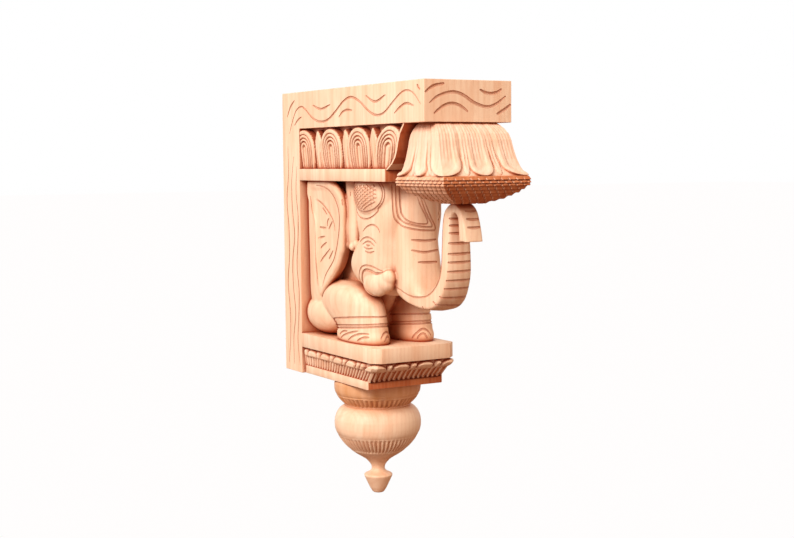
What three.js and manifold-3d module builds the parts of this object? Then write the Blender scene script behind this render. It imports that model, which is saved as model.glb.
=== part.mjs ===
// Carved wooden wall bracket. A back board and a top beam are held up by an elephant, which stands on
// a slab and carries a lotus capital on its raised trunk. A turned pendant hangs below the slab.
// Millimetres, +Z up, front towards -Y, the back face on Y = 0, X = 0 is the middle plane.
import * as THREE from "three";
import { mergeVertices } from "three/addons/utils/BufferGeometryUtils.js";
import Module from "manifold-3d";

const wasm = await Module();
wasm.setup();

// Driving dimensions of the block
const blockWidth = 102;
const boardHeight = 318;
const boardThickness = 42;
const beamDepth = 309;
const beamHeight = 41;

// Driving dimensions of the friezes under the beam
const friezeHeight = 45;
const friezeSink = 7;
const filletHeight = 13;
const filletReach = 234;
const friezeReach = 268;
const friezePetalPitch = 62;
const friezeEdge = 9;

// Driving dimensions of the lotus capital, from the neck under the beam to the bowl on the trunk
const lotusNeckWidth = 76;
const lotusNeckDepth = 34;
const lotusRimDepth = 88;
const lotusOverhang = 33;
const lotusHeight = 53;
const lotusRimHeight = 7;
const lotusBowlDepth = 18;
const petalRise = 4;

// Driving dimensions of the slab and the moulding below it
const slabReach = 209;
const slabThickness = 16;
const slabChamfer = 9;
const mouldingHeight = 21;
const mouldingInset = 18;
const baseFilletHeight = 9;
const baseFilletInset = 4;
const mouldingStep = 3.5;
const basePetalPitch = 29.5;

// Driving dimensions of the turned pendant
const drumRadius = 47;
const drumHeight = 20;
const waistRadius = 37;
const upperFluteHeight = 12;
const bulbRadius = 47.5;
const bulbHeight = 33;
const lowerFluteHeight = 18;
const neckRadius = 9;
const neckDrop = 14;
const acornRadius = 17;
const acornHeight = 21;
const fluteCount = 26;
const fluteDepth = 2;

// Driving dimensions of the cuts
const waveWidth = 4;
const wrinkleWidth = 2.4;
const jointGap = 0.3;

// Sizes that follow from them
const side = blockWidth / 2;
const beamUnderside = boardHeight - beamHeight;
const filletTop = beamUnderside - friezeHeight;
const filletUnderside = filletTop - filletHeight;
const slabUnderside = baseFilletHeight + mouldingHeight;
const slabTop = slabUnderside + slabThickness;
const elephantHeight = filletUnderside - slabTop;
const lotusFront = beamDepth + lotusOverhang;
const lotusCentre = lotusFront - lotusRimDepth / 2;
const rimTop = beamUnderside - lotusHeight;
const rimUnderside = rimTop - lotusRimHeight;
const bowlUnderside = rimUnderside - lotusBowlDepth;
const pendantAxis = (boardThickness + slabReach) / 2;

// A body from a closed geometry, with its faces turned outwards
function body(geometry) {
  const bare = geometry.clone();
  bare.deleteAttribute("normal");
  bare.deleteAttribute("uv");
  const merged = mergeVertices(bare, 1e-4);
  const vertProperties = new Float32Array(merged.attributes.position.array);
  const triVerts = new Uint32Array(merged.index.array);
  const corner = [new THREE.Vector3(), new THREE.Vector3(), new THREE.Vector3()];
  let volume = 0;
  for (let i = 0; i < triVerts.length; i += 3) {
    corner.forEach((point, k) => point.fromArray(vertProperties, 3 * triVerts[i + k]));
    volume += corner[0].dot(corner[1].cross(corner[2]));
  }
  if (volume < 0) {
    triVerts.reverse();
  }
  return new wasm.Manifold(new wasm.Mesh({ numProp: 3, vertProperties, triVerts }));
}

// All the bodies of a list joined into one
function joined(bodies) {
  return bodies.reduce((whole, next) => whole.add(next));
}

// The same body on the other side of the middle plane
function mirrored(form) {
  return form.mirror([1, 0, 0]);
}

// A closed body whose cross-sections are given by a function of the share along it
function loft(sides, steps, section) {
  const geometry = new THREE.CylinderGeometry(1, 1, 1, sides, steps);
  const points = geometry.attributes.position;
  for (let i = 0; i < points.count; i += 1) {
    const across = points.getZ(i);
    const along = points.getX(i);
    const onAxis = Math.hypot(across, along) < 0.5;
    const place = section(points.getY(i) + 0.5, Math.atan2(along, across), onAxis ? 0 : 1);
    points.setXYZ(i, place.x, place.y, place.z);
  }
  return body(geometry);
}

// A round outline that grows squarer as its power rises above 2
function roundedSquare(angle, power) {
  const cosine = Math.cos(angle);
  const sine = Math.sin(angle);
  return {
    across: Math.sign(cosine) * Math.abs(cosine) ** (2 / power),
    along: Math.sign(sine) * Math.abs(sine) ** (2 / power),
  };
}

// A smooth value along a form, from a few values at equal steps
function flow(values) {
  const curve = new THREE.SplineCurve(values.map((value, i) => new THREE.Vector2(i, value)));
  return (share) => curve.getPoint(Math.min(Math.max(share, 0), 1)).y;
}

// A gouge cut along a curve: a diamond section that thins out to both ends
function gouge(curve, outward, width, steps) {
  return loft(4, steps, (share, angle, radius) => {
    const tangent = curve.getTangent(share);
    const normal = outward.clone().addScaledVector(tangent, -outward.dot(tangent)).normalize();
    const across = new THREE.Vector3().crossVectors(tangent, normal);
    const size = radius * (0.25 + 0.75 * Math.sin(Math.PI * share) ** 0.5);
    const place = curve.getPoint(share);
    place.addScaledVector(normal, Math.cos(angle) * size * width * 0.55);
    return place.addScaledVector(across, Math.sin(angle) * size * width * 0.5);
  });
}

// A gouge cut through points of a vertical plane, at distance depth from the wall and height z
function sideGouge(points, plane, width, steps) {
  const places = points.map(([depth, z]) => new THREE.Vector3(plane, -depth, z));
  return gouge(new THREE.CatmullRomCurve3(places), new THREE.Vector3(Math.sign(plane), 0, 0), width, steps);
}

// A flat outline in depth and height, given a thickness across the block
function sidePlate(outline, inner, outer) {
  const shape = new THREE.Shape(outline.map(([depth, z]) => new THREE.Vector2(depth, z)));
  const plate = new THREE.ExtrudeGeometry(shape, { depth: outer - inner, bevelEnabled: false });
  plate.rotateX(Math.PI / 2);
  plate.rotateZ(-Math.PI / 2);
  plate.translate(outer, 0, 0);
  return body(plate);
}

// Board and beam: one angle-shaped outline as wide as the block
function angleBlock() {
  return sidePlate([
    [0, 0],
    [boardThickness, 0],
    [boardThickness, beamUnderside],
    [beamDepth, beamUnderside],
    [beamDepth, boardHeight],
    [0, boardHeight],
  ], -side, side);
}

// The wave cut along the beam's side, with a short arc inside each bend
function beamWaves(plane) {
  const middle = beamUnderside + beamHeight * 0.46;
  const swing = beamHeight * 0.27;
  const start = 20;
  const bend = (beamDepth - start) / 5;
  const wave = [];
  for (let step = 0; step <= 10; step += 1) {
    const rise = Math.sin((step * Math.PI) / 2);
    wave.push([start + (step * bend) / 2, middle + swing * rise]);
  }
  const cuts = [sideGouge(wave, plane, waveWidth, 20)];
  for (let count = 0; count < 5; count += 1) {
    const peak = count % 2 === 0 ? -1 : 1;
    const centre = start + (count + 0.5) * bend;
    const arc = [-0.32, 0, 0.32].map((turn) => [
      centre + turn * bend,
      middle + peak * swing * (Math.abs(turn) * 1.6 - 0.02),
    ]);
    cuts.push(sideGouge(arc, plane, waveWidth * 0.8, 3));
  }
  return joined(cuts);
}

// The wave on the beam's front end
function frontWave() {
  const middle = beamUnderside + beamHeight * 0.5;
  const swing = beamHeight * 0.18;
  const places = [-0.9, -0.65, -0.37, -0.12, 0.12, 0.41, 0.63, 0.88].map((share) => new THREE.Vector3(
    share * side,
    -beamDepth,
    middle + swing * Math.cos((share + 0.37) * 4.1),
  ));
  const forward = new THREE.Vector3(0, -1, 0);
  const cuts = [gouge(new THREE.CatmullRomCurve3(places), forward, waveWidth, 10)];
  [[-0.37, -0.27], [0.5, 0.33]].forEach(([centre, height]) => {
    const arc = [-0.34, 0, 0.34].map((turn) => new THREE.Vector3(
      (centre + turn) * side,
      -beamDepth,
      middle + beamHeight * (height + (height < 0 ? 0.07 : -0.07) * Math.cos(turn * 4.6)),
    ));
    cuts.push(gouge(new THREE.CatmullRomCurve3(arc), forward, waveWidth * 0.8, 3));
  });
  return joined(cuts);
}

// Two wandering lines down the board's side
function boardLines(plane) {
  return joined([0.38, 0.8].map((place, line) => {
    const points = [];
    for (let step = 0; step <= 8; step += 1) {
      const sway = Math.sin(step * 2.2 + line * 1.7) * boardThickness * 0.07;
      points.push([boardThickness * place + sway, beamUnderside * (1 - step / 8.4)]);
    }
    return sideGouge(points, plane, waveWidth * 0.75, 11);
  }));
}

// The ogee of the frieze's front end, from the beam down to the fillet, moved back by an inset
function friezeEnd(inset) {
  const fall = friezeReach - filletReach;
  const ogee = [[1, 0], [0.8, 0.2], [0.7, 0.4], [0.62, 0.6], [0.45, 0.8], [0.1, 0.98]];
  return ogee.map(([out, down]) => [
    filletReach + out * fall - inset,
    beamUnderside + 1 - down * friezeHeight,
  ]);
}

// The frieze block with its plain fillet; a raised edge follows the ogee of its front end
function friezeBlock() {
  const core = sidePlate([
    [boardThickness - 1, filletTop - 1],
    [filletReach, filletTop - 1],
    ...friezeEnd(0).reverse(),
    [boardThickness - 1, beamUnderside + 1],
  ], -(side - friezeSink), side - friezeSink);
  const fillet = sidePlate([
    [boardThickness - 1, filletUnderside],
    [filletReach, filletUnderside],
    [filletReach, filletTop],
    [boardThickness - 1, filletTop],
  ], -side, side);
  const band = [...friezeEnd(friezeEdge).reverse(), ...friezeEnd(0)].reverse();
  const edge = sidePlate(band, -(side - 1), side - 1);
  return joined([core, fillet, edge]);
}

// One frieze petal: a broad arch, full at its top and sinking towards its foot, with nested arcs
function friezePetal(centre, low, high) {
  const half = friezePetalPitch * 0.46;
  const inner = side - friezeSink - 1;
  const skin = (rise) => side - friezeSink + friezeSink * (0.2 + 0.7 * rise);
  const place = (x, depth, rise) => {
    const clipped = Math.min(Math.max(depth, low), high);
    return new THREE.Vector3(x, -clipped, filletTop + rise * friezeHeight);
  };
  const tile = loft(10, 2, (share, angle, radius) => {
    const out = roundedSquare(angle, 2.6);
    const rise = 0.5 + 0.49 * out.along * radius;
    const full = Math.sign(out.across) * Math.min(1, Math.abs(out.across) * 1.3);
    const width = rise < 0.5 ? full : out.across;
    const narrow = [1, 0.97, 0.8][Math.round(share * 2)];
    const lift = [0, 0.75, 1][Math.round(share * 2)];
    return place(inner + lift * (skin(rise) - inner), centre + radius * width * half * narrow, rise);
  });
  const arcs = [0.74, 0.42].map((scale) => {
    const points = [-1.3, -0.65, 0, 0.65, 1.3].map((turn) => {
      const rise = 0.08 + 0.86 * Math.cos(turn) * scale;
      return place(skin(rise), centre + Math.sin(turn) * half * scale, rise);
    });
    return gouge(new THREE.CatmullRomCurve3(points), new THREE.Vector3(1, 0, 0), waveWidth * 0.8, 4);
  });
  return tile.subtract(joined(arcs));
}

// The row of frieze petals on the near side; the first is half hidden by the board
function friezeRow() {
  const low = boardThickness - 0.5;
  const high = friezeReach - friezeEdge * 2;
  const tiles = [];
  for (let centre = boardThickness + 8; centre < high; centre += friezePetalPitch) {
    tiles.push(friezePetal(centre, low, high));
  }
  return joined(tiles);
}

// How far the lotus has spread at a share of its height below the beam: shoulder, then flared foot
const lotusFlare = flow([0, 0.28, 0.4, 0.47, 0.58, 0.88]);

// Half width, front and back of the lotus at a share of the way down it
function lotusPlan(share) {
  const flare = lotusFlare(share);
  const neckFront = beamDepth - 3;
  return {
    half: lotusNeckWidth / 2 + (side - lotusNeckWidth / 2) * flare,
    front: neckFront + (lotusFront - neckFront) * flare,
    back: neckFront - lotusNeckDepth - (lotusRimDepth - lotusNeckDepth - lotusOverhang - 3) * flare,
    z: beamUnderside - share * lotusHeight,
  };
}

// A point of a square plan with the given half width, front and back
function squarePoint(plan, angle, radius) {
  const reach = Math.max(Math.abs(Math.cos(angle)), Math.abs(Math.sin(angle)));
  const middle = (plan.front + plan.back) / 2;
  const half = (plan.front - plan.back) / 2;
  const x = (Math.sin(angle) / reach) * plan.half * radius;
  return new THREE.Vector3(x, -middle - (Math.cos(angle) / reach) * half * radius, plan.z);
}

// The lotus's body: spreading block, rim band and shallow bowl
function lotusBody() {
  const flared = loft(8, 5, (share, angle, radius) => {
    const plan = lotusPlan(1 - share);
    if (share === 1) {
      plan.z += 1;
    }
    return squarePoint(plan, angle, radius);
  });
  const bowl = [[1, 0], [1, lotusRimHeight], [0.9, 12], [0.82, 15], [0.5, 20], [0.2, 25]];
  const rim = loft(8, bowl.length - 1, (share, angle, radius) => {
    const [width, drop] = bowl[Math.round((1 - share) * (bowl.length - 1))];
    const half = (lotusRimDepth / 2) * width;
    return squarePoint({
      half: side * width,
      front: lotusCentre + half,
      back: lotusCentre - half,
      z: rimTop + (drop === 0 ? 0.5 : 0) - (drop / 25) * (lotusRimHeight + lotusBowlDepth),
    }, angle, radius);
  });
  return flared.add(rim);
}

// A hanging petal on a lotus face, from the neck down to its round foot
function lotusPetal(face, centre, width, foot) {
  return loft(6, 5, (share, angle, radius) => {
    const down = 0.02 + (foot - 0.02) * (1 - share);
    const plan = lotusPlan(down);
    const spread = 0.72 + 0.28 * down;
    const round = share > 0.3 ? 1 : 0.3 + 2.33 * share;
    const out = roundedSquare(angle, 4);
    const across = centre * (plan.half / side) + out.along * width * spread * round * radius;
    const proud = (out.across * radius * round * 0.7 + 0.1) * petalRise;
    if (face === "front") {
      return new THREE.Vector3(across, -plan.front - proud, plan.z);
    }
    const middle = (plan.front + plan.back) / 2;
    return new THREE.Vector3(plan.half + proud * 0.6, -middle - across, plan.z);
  });
}

// Petals and darts of the lotus: a middle petal and two corner petals on each face, darts between
function lotusPetals() {
  const petalFoot = 0.97;
  const dartFoot = 0.86;
  const front = [
    [0, 14.5, petalFoot],
    [-37, 9, petalFoot],
    [37, 9, petalFoot],
    [-20, 4, dartFoot],
    [20, 4, dartFoot],
  ];
  const sides = [
    [4, 13, petalFoot],
    [34, 7, petalFoot],
    [-30, 7, petalFoot],
    [21, 3.5, dartFoot],
    [-16, 3.5, dartFoot],
  ];
  const list = front.map(([x, width, foot]) => lotusPetal("front", x, width, foot));
  sides.forEach(([depth, width, foot]) => {
    const petal = lotusPetal("side", depth, width, foot);
    list.push(petal, mirrored(petal));
  });
  return joined(list);
}

// Outline of the slab and of the mouldings below it: a rectangle with its front corners cut off
function basePlan(half, reach, chamfer) {
  return [
    [-half, boardThickness - 1],
    [-half, reach - chamfer],
    [-half + chamfer, reach],
    [half - chamfer, reach],
    [half, reach - chamfer],
    [half, boardThickness - 1],
  ];
}

// A slice of the base between two heights, each with its own half width, reach and chamfer
function baseSlice(lower, upper) {
  const low = basePlan(...lower.plan);
  const high = basePlan(...upper.plan);
  const corners = low.length;
  return loft(corners, 1, (share, angle, radius) => {
    const turn = (angle + 2 * Math.PI) % (2 * Math.PI);
    const corner = Math.round((turn / (2 * Math.PI)) * corners) % corners;
    const plan = share > 0.5 ? high : low;
    const [x, depth] = radius ? plan[corner] : [0, (plan[0][1] + plan[2][1]) / 2];
    return new THREE.Vector3(x, -depth, share > 0.5 ? upper.z : lower.z);
  });
}

// Slab, sloping moulding and plain fillet
const mouldingHead = { half: side - mouldingStep, reach: slabReach - mouldingStep };
const mouldingFoot = { half: side - baseFilletInset - 1.5, reach: slabReach - mouldingInset - 2 };
const lowChamfer = slabChamfer * 0.7;

function baseBlock() {
  const slab = [side, slabReach, slabChamfer];
  const head = [mouldingHead.half, mouldingHead.reach, slabChamfer];
  const foot = [mouldingFoot.half, mouldingFoot.reach, lowChamfer];
  const fillet = [side - baseFilletInset, slabReach - mouldingInset, lowChamfer];
  return joined([
    baseSlice({ plan: slab, z: slabUnderside }, { plan: slab, z: slabTop }),
    baseSlice({ plan: foot, z: baseFilletHeight - 1 }, { plan: head, z: slabUnderside + 1 }),
    baseSlice({ plan: fillet, z: 0 }, { plan: fillet, z: baseFilletHeight }),
  ]);
}

// One upright petal of the base moulding, leaning with the slope from its foot to its round head
function basePetal(foot, head, along, width) {
  const rise = new THREE.Vector3().subVectors(head, foot);
  const outward = new THREE.Vector3().crossVectors(along, rise).normalize();
  return loft(4, 3, (share, angle, radius) => {
    const round = Math.sqrt(Math.max(0, 1 - share ** 4)) * 0.88 + 0.12;
    const place = new THREE.Vector3().lerpVectors(foot, head, share);
    place.addScaledVector(along, Math.sin(angle) * width * round * radius);
    return place.addScaledVector(outward, Math.cos(angle) * petalRise * 0.65 * radius);
  });
}

// The petals round the base: a row on each side, two in front and one on each cut corner
function basePetals() {
  const low = baseFilletHeight + 0.5;
  const high = slabUnderside - 0.5;
  const half = basePetalPitch * 0.4;
  const ends = (x, depth, cut) => [
    new THREE.Vector3(x(mouldingFoot) - cut, -(depth(mouldingFoot) - cut), low),
    new THREE.Vector3(x(mouldingHead) - cut, -(depth(mouldingHead) - cut), high),
  ];
  const list = [];
  const last = slabReach - basePetalPitch * 0.6;
  for (let depth = boardThickness + basePetalPitch * 0.82; depth < last; depth += basePetalPitch) {
    list.push(basePetal(...ends((plan) => plan.half, () => depth, 0), new THREE.Vector3(0, 1, 0), half));
  }
  const across = new THREE.Vector3(1, 0, 0);
  const corner = new THREE.Vector3(1, 1, 0).normalize();
  const place = basePetalPitch * 0.53;
  list.push(basePetal(...ends(() => place, (plan) => plan.reach, 0), across, half * 0.85));
  const cornerEnds = ends((plan) => plan.half, (plan) => plan.reach, slabChamfer * 0.5);
  list.push(basePetal(...cornerEnds, corner, half * 0.75));
  const near = joined(list);
  return near.add(mirrored(near));
}

// A point of the elephant in hundredths of its height: x from the middle, depth from the board
const elephantUnit = elephantHeight / 100;
function spot(x, depth, z) {
  const fromWall = boardThickness + depth * elephantUnit;
  return new THREE.Vector3(x * elephantUnit, -fromWall, slabTop + z * elephantUnit);
}

// A round form of the elephant: its centre and its half sizes across, in depth and in height
function bulge(x, depth, z, across, along, tall, rings) {
  const ball = new THREE.SphereGeometry(elephantUnit, rings + 4, rings);
  ball.rotateX(Math.PI / 2);
  ball.scale(across, along, tall);
  const centre = spot(x, depth, z);
  ball.translate(centre.x, centre.y, centre.z);
  return body(ball);
}

// The head in level sections: half width, and how far it runs back and forward of its widest line
const headLow = 31;
const headHigh = 101;
const headWidest = 65;
const headHalf = flow([13, 21, 23, 23, 22, 22.5, 23.5, 23.5, 22]);
const headBack = flow([7, 23, 27, 24, 21, 24, 27, 27, 25.5]);
const headFront = flow([17, 36, 43.5, 43, 40.5, 38.5, 38.5, 38, 35]);

function headPoint(share, angle, radius) {
  const out = roundedSquare(angle, 2.25);
  const run = out.along > 0 ? headFront(share) : headBack(share);
  const z = headLow + share * (headHigh - headLow);
  return spot(out.across * headHalf(share) * radius, headWidest + out.along * run * radius, z);
}

// The trunk's centre line: a share of the way from the head's front to the lotus's middle, and a
// share of the height from the slab to the bowl
const trunkLine = [
  [-21, 63], [-3, 40], [24, 35], [46, 33.5], [66, 36.5], [80, 44], [87, 54], [87.5, 67],
  [85.5, 80], [81.5, 89.5], [84.5, 95], [92, 97.3], [101.3, 96.7], [110, 93], [115, 86], [118.5, 75.5],
];
const trunkRoot = boardThickness + 104 * elephantUnit;
const trunkThick = flow([
  50, 40, 22, 19.5, 20.5, 20.5, 20.5, 18.5, 16.5, 12.5, 11, 10, 10, 10.5, 11, 11.5,
]);
const trunkHalf = flow([
  21, 21.5, 19.5, 18, 16.5, 16, 15.5, 14.5, 13, 11.5, 10.8, 10.5, 10.5, 10.5, 10.5, 10.5,
]);

function trunkCurve() {
  return new THREE.CatmullRomCurve3(trunkLine.map(([forward, up]) => new THREE.Vector3(
    0,
    -(trunkRoot + (forward / 100) * (lotusCentre - trunkRoot)),
    slabTop + (up / 100) * (bowlUnderside + 1 - slabTop),
  )));
}

// A point on the trunk's skin: the share along it, the turn round it from its outer side
function trunkPoint(curve, share, angle, radius) {
  const out = roundedSquare(angle, 3);
  const tangent = curve.getTangent(share);
  const outward = new THREE.Vector3(0, tangent.z, -tangent.y);
  const crown = out.across > 0 ? 1 + 0.12 * (1 - out.along ** 2) : 1;
  const place = curve.getPoint(share);
  place.addScaledVector(outward, -out.across * radius * crown * trunkThick(share) * 0.5);
  place.x = out.along * radius * trunkHalf(share);
  return place;
}

function trunk() {
  const curve = trunkCurve();
  return loft(10, 18, (share, angle, radius) => trunkPoint(curve, share, angle, radius));
}

// A wrinkle across the trunk, cut into the side that the turn points to
function wrinkle(curve, share, facing) {
  const places = [-1, -0.5, 0, 0.5, 1].map((step) => trunkPoint(curve, share, facing + step * 0.95, 1));
  const outward = trunkPoint(curve, share, facing, 1).sub(curve.getPoint(share)).normalize();
  return gouge(new THREE.CatmullRomCurve3(places), outward, wrinkleWidth, 3);
}

function wrinkles() {
  const curve = trunkCurve();
  const cuts = [];
  for (let share = 0.3; share < 0.62; share += 0.04) {
    cuts.push(wrinkle(curve, share, 0));
  }
  [0.9, 0.945].forEach((share) => cuts.push(wrinkle(curve, share, Math.PI)));
  return joined(cuts);
}

// The ear: a broad leaf lying along the body, its outline in hundredths of the elephant's height
const earEdge = [
  [1, 97], [20, 98], [40, 98], [48, 96], [55, 92], [59, 85], [59, 74], [57, 63], [53, 52],
  [46, 42], [36, 35.5], [25, 27], [17, 33], [15.5, 46], [12.5, 60], [13, 73], [5, 90],
];

function ear() {
  const edge = new THREE.CatmullRomCurve3(earEdge.map(([depth, z]) => new THREE.Vector3(0, depth, z)), true);
  const middle = { depth: 35, z: 66 };
  const reach = flow([15, 23, 25.6, 26.5]);
  const spread = flow([1, 1, 0.96, 0.87]);
  return loft(20, 3, (share, angle, radius) => {
    const turn = (angle / (2 * Math.PI) + 1) % 1;
    const rim = edge.getPoint(turn);
    const size = radius * spread(share);
    const depth = middle.depth + (rim.y - middle.depth) * size;
    return spot(reach(share), depth, middle.z + (rim.z - middle.z) * size);
  });
}

// The ear's cut lines: a long one inside the front edge, one behind it, and short strokes
function earLines() {
  const plane = 26.6;
  const lines = [
    [[16, 96], [35, 94.5], [47, 88], [54, 79], [55, 71], [50, 61], [44, 51], [34, 42.5], [24, 32]],
    [[9, 92], [23, 88.5], [34, 81], [39, 76]],
    [[22, 71], [30, 70]],
    [[18, 63], [31, 65]],
    [[23, 57], [33, 61.5]],
    [[24, 50], [36, 58]],
    [[33, 73.5], [38, 77]],
  ];
  const outward = new THREE.Vector3(1, 0, 0);
  return joined(lines.map((line) => {
    const curve = new THREE.CatmullRomCurve3(line.map(([depth, z]) => spot(plane, depth, z)));
    return gouge(curve, outward, wrinkleWidth, Math.max(line.length, 2));
  }));
}

// A front leg from the slab up: height, place and half sizes of the foot, anklets and full thigh
const legLevels = [
  [-0.5, 62.5, 19, 10.6],
  [3.5, 63, 19.8, 11],
  [7, 62.5, 18.2, 10.2],
  [7.8, 62.5, 17, 9.5],
  [8.8, 62.5, 18.4, 10.3],
  [12, 62.5, 18.4, 10.3],
  [12.8, 62, 17, 9.6],
  [14, 62, 18, 10.2],
  [15.4, 61.5, 17.4, 9.8],
  [21, 59, 25, 11.4],
  [27, 56, 28, 12],
  [33, 54, 23, 10],
  [38, 51.5, 11, 5],
];

function frontLeg() {
  const steps = legLevels.length - 1;
  return loft(12, steps, (share, angle, radius) => {
    const [z, depth, along, across] = legLevels[Math.round(share * steps)];
    const out = roundedSquare(angle, 2.4);
    return spot(16 + out.across * across * radius, depth + out.along * along * radius, z);
  });
}

// The cloth on the forehead: two cut lines that follow the head's front
function clothLines() {
  const half = [[17.5, 96], [17, 84], [16, 77], [12.5, 73.3]];
  const outline = [...half.map(([x, z]) => [-x, z]), [0, 71], ...half.reverse()];
  return joined([1, 0.76].map((scale) => {
    const places = outline.map(([x, z]) => {
      const level = 71 + (z - 71) * (scale === 1 ? 1 : 0.93) + (scale === 1 ? 0 : 3);
      const share = (level - headLow) / (headHigh - headLow);
      const width = Math.abs(x * scale) / headHalf(share);
      const run = (1 - width ** 2.25) ** (1 / 2.25);
      return spot(x * scale, headWidest + headFront(share) * run, level);
    });
    const forward = new THREE.Vector3(0, -1, 0);
    return gouge(new THREE.CatmullRomCurve3(places), forward, wrinkleWidth, 8);
  }));
}

// The elephant: body, head, trunk, and its paired parts on both sides
function elephant() {
  const near = joined([
    ear().subtract(earLines()),
    frontLeg(),
    bulge(15.5, 19, 17.5, 10.5, 21, 17.5, 6),
    bulge(14, 12, 60, 11.5, 15, 40, 6),
    bulge(17.5, 71, 87, 7.2, 17, 14, 6),
    bulge(17.5, 84.5, 39, 6.2, 13.5, 9, 6),
    bulge(16, 93.5, 41, 5, 8, 7.5, 5),
  ]);
  const core = joined([
    loft(14, 8, headPoint),
    bulge(0, 33, 45, 21, 40, 38, 6),
    bulge(0, 28, 14, 17, 30, 17, 6),
    trunk(),
  ]);
  return joined([core, near, mirrored(near)]).subtract(wrinkles()).subtract(clothLines());
}

// The carved block, all of one piece of wood
function carvedBlock() {
  const waves = joined([beamWaves(side), boardLines(side)]);
  const block = angleBlock().subtract(waves).subtract(mirrored(waves)).subtract(frontWave());
  const frieze = friezeRow();
  return joined([
    block,
    friezeBlock(),
    frieze,
    mirrored(frieze),
    lotusBody(),
    lotusPetals(),
    baseBlock(),
    basePetals(),
    elephant(),
  ]);
}

// The pendant's outline from the top down: radius and drop below the slab's moulding
function pendantProfile() {
  const drum = drumHeight;
  const waist = drum + upperFluteHeight;
  const bulb = waist + bulbHeight;
  const flutes = bulb + lowerFluteHeight;
  const rim = flutes + neckDrop + 10;
  return [
    [drumRadius, 0],
    [drumRadius, drum * 0.55],
    [drumRadius - 1.5, drum * 0.8],
    [drumRadius - 4, drum],
    [waistRadius + 1, drum + upperFluteHeight * 0.4],
    [waistRadius, drum + upperFluteHeight * 0.65],
    [bulbRadius - 5.5, waist],
    [bulbRadius - 1.5, waist + bulbHeight * 0.2],
    [bulbRadius, waist + bulbHeight * 0.45],
    [bulbRadius - 1.5, waist + bulbHeight * 0.75],
    [bulbRadius - 4.5, bulb],
    [bulbRadius - 8.5, bulb + lowerFluteHeight * 0.3],
    [bulbRadius - 17, bulb + lowerFluteHeight * 0.75],
    [bulbRadius - 24, flutes],
    [neckRadius + 7, flutes + 5],
    [neckRadius + 1.2, flutes + neckDrop * 0.66],
    [neckRadius, flutes + neckDrop],
    [neckRadius + 1.5, flutes + neckDrop + 4],
    [acornRadius - 2.5, rim - 2.5],
    [acornRadius, rim],
    [acornRadius - 1.7, rim + 3],
    [acornRadius - 6, rim + acornHeight * 0.45],
    [acornRadius - 10, rim + acornHeight * 0.8],
    [3, rim + acornHeight],
  ];
}

// Flutes are cut only in the two bands, where this is above zero
function fluteShare(drop) {
  const bulb = drumHeight + upperFluteHeight + bulbHeight;
  const upper = drop > drumHeight && drop < drumHeight + upperFluteHeight;
  const lower = drop > bulb && drop < bulb + lowerFluteHeight;
  return upper || lower ? 1 : 0;
}

// The turned pendant, with its flutes cut round the waist and under the bulb
function pendant() {
  const profile = pendantProfile();
  const closed = [[0, 0], ...profile, [0, profile.at(-1)[1]]];
  const outline = closed.map(([radius, drop]) => new THREE.Vector2(radius, -drop));
  const turned = new THREE.LatheGeometry(outline.reverse(), fluteCount);
  const points = turned.attributes.position;
  for (let i = 0; i < points.count; i += 1) {
    const turn = Math.atan2(points.getX(i), points.getZ(i));
    const odd = Math.round((turn / (2 * Math.PI)) * fluteCount) % 2 !== 0;
    const radius = Math.hypot(points.getX(i), points.getZ(i));
    const cut = odd && radius > 0 ? (fluteDepth * fluteShare(-points.getY(i))) / radius : 0;
    points.setXYZ(i, points.getX(i) * (1 - cut), points.getY(i), points.getZ(i) * (1 - cut));
  }
  turned.rotateX(Math.PI / 2);
  turned.translate(0, -pendantAxis, -jointGap);
  return body(turned);
}

// A named mesh from a body
function part(name, form, material) {
  const { vertProperties, triVerts } = form.getMesh();
  const geometry = new THREE.BufferGeometry();
  geometry.setAttribute("position", new THREE.BufferAttribute(vertProperties, 3));
  geometry.setIndex(new THREE.BufferAttribute(triVerts, 1));
  geometry.computeVertexNormals();
  const mesh = new THREE.Mesh(geometry, material);
  mesh.name = name;
  return mesh;
}

const carvedWood = new THREE.MeshStandardMaterial({ color: 0xefbd8c, roughness: 0.62, metalness: 0 });
const turnedWood = new THREE.MeshStandardMaterial({ color: 0xf2cba0, roughness: 0.5, metalness: 0 });

const bracket = new THREE.Group();
bracket.add(part("carved_bracket", carvedBlock(), carvedWood));
bracket.add(part("turned_pendant", pendant(), turnedWood));
bracket.position.z = -boardHeight / 2;

const object = new THREE.Group();
object.add(bracket);

export default object;
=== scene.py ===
# Carved wooden wall bracket: a back board and a top beam held up by an elephant, which carries a lotus
# capital on its raised trunk, and a turned pendant below. One block of raw, pale wood and one turning.
import math

import bmesh
import bpy
import numpy as np
from mathutils import Matrix, Vector
from mathutils.bvhtree import BVHTree


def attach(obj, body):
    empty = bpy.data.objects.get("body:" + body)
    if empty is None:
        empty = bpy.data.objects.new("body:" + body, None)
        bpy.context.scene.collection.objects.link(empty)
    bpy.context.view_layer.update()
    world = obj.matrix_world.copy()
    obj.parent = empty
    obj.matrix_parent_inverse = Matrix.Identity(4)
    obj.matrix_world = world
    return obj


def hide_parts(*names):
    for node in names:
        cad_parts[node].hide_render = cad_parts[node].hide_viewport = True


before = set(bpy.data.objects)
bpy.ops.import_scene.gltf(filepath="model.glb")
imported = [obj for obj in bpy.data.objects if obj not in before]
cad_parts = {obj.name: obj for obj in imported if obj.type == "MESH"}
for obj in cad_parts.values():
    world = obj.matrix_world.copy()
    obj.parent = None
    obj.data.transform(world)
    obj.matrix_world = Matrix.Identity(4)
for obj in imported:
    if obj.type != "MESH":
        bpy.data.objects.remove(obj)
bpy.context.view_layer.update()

# Camera. It stands to the left of the bracket's front, a little above its middle, and looks slightly down
# through a lens that makes the near corner only a little larger than the far ones.
bpy.ops.object.camera_add(location=(-0.7291, -1.4008, 0.0798))
camera = bpy.context.object
camera.name = "camera"
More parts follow.
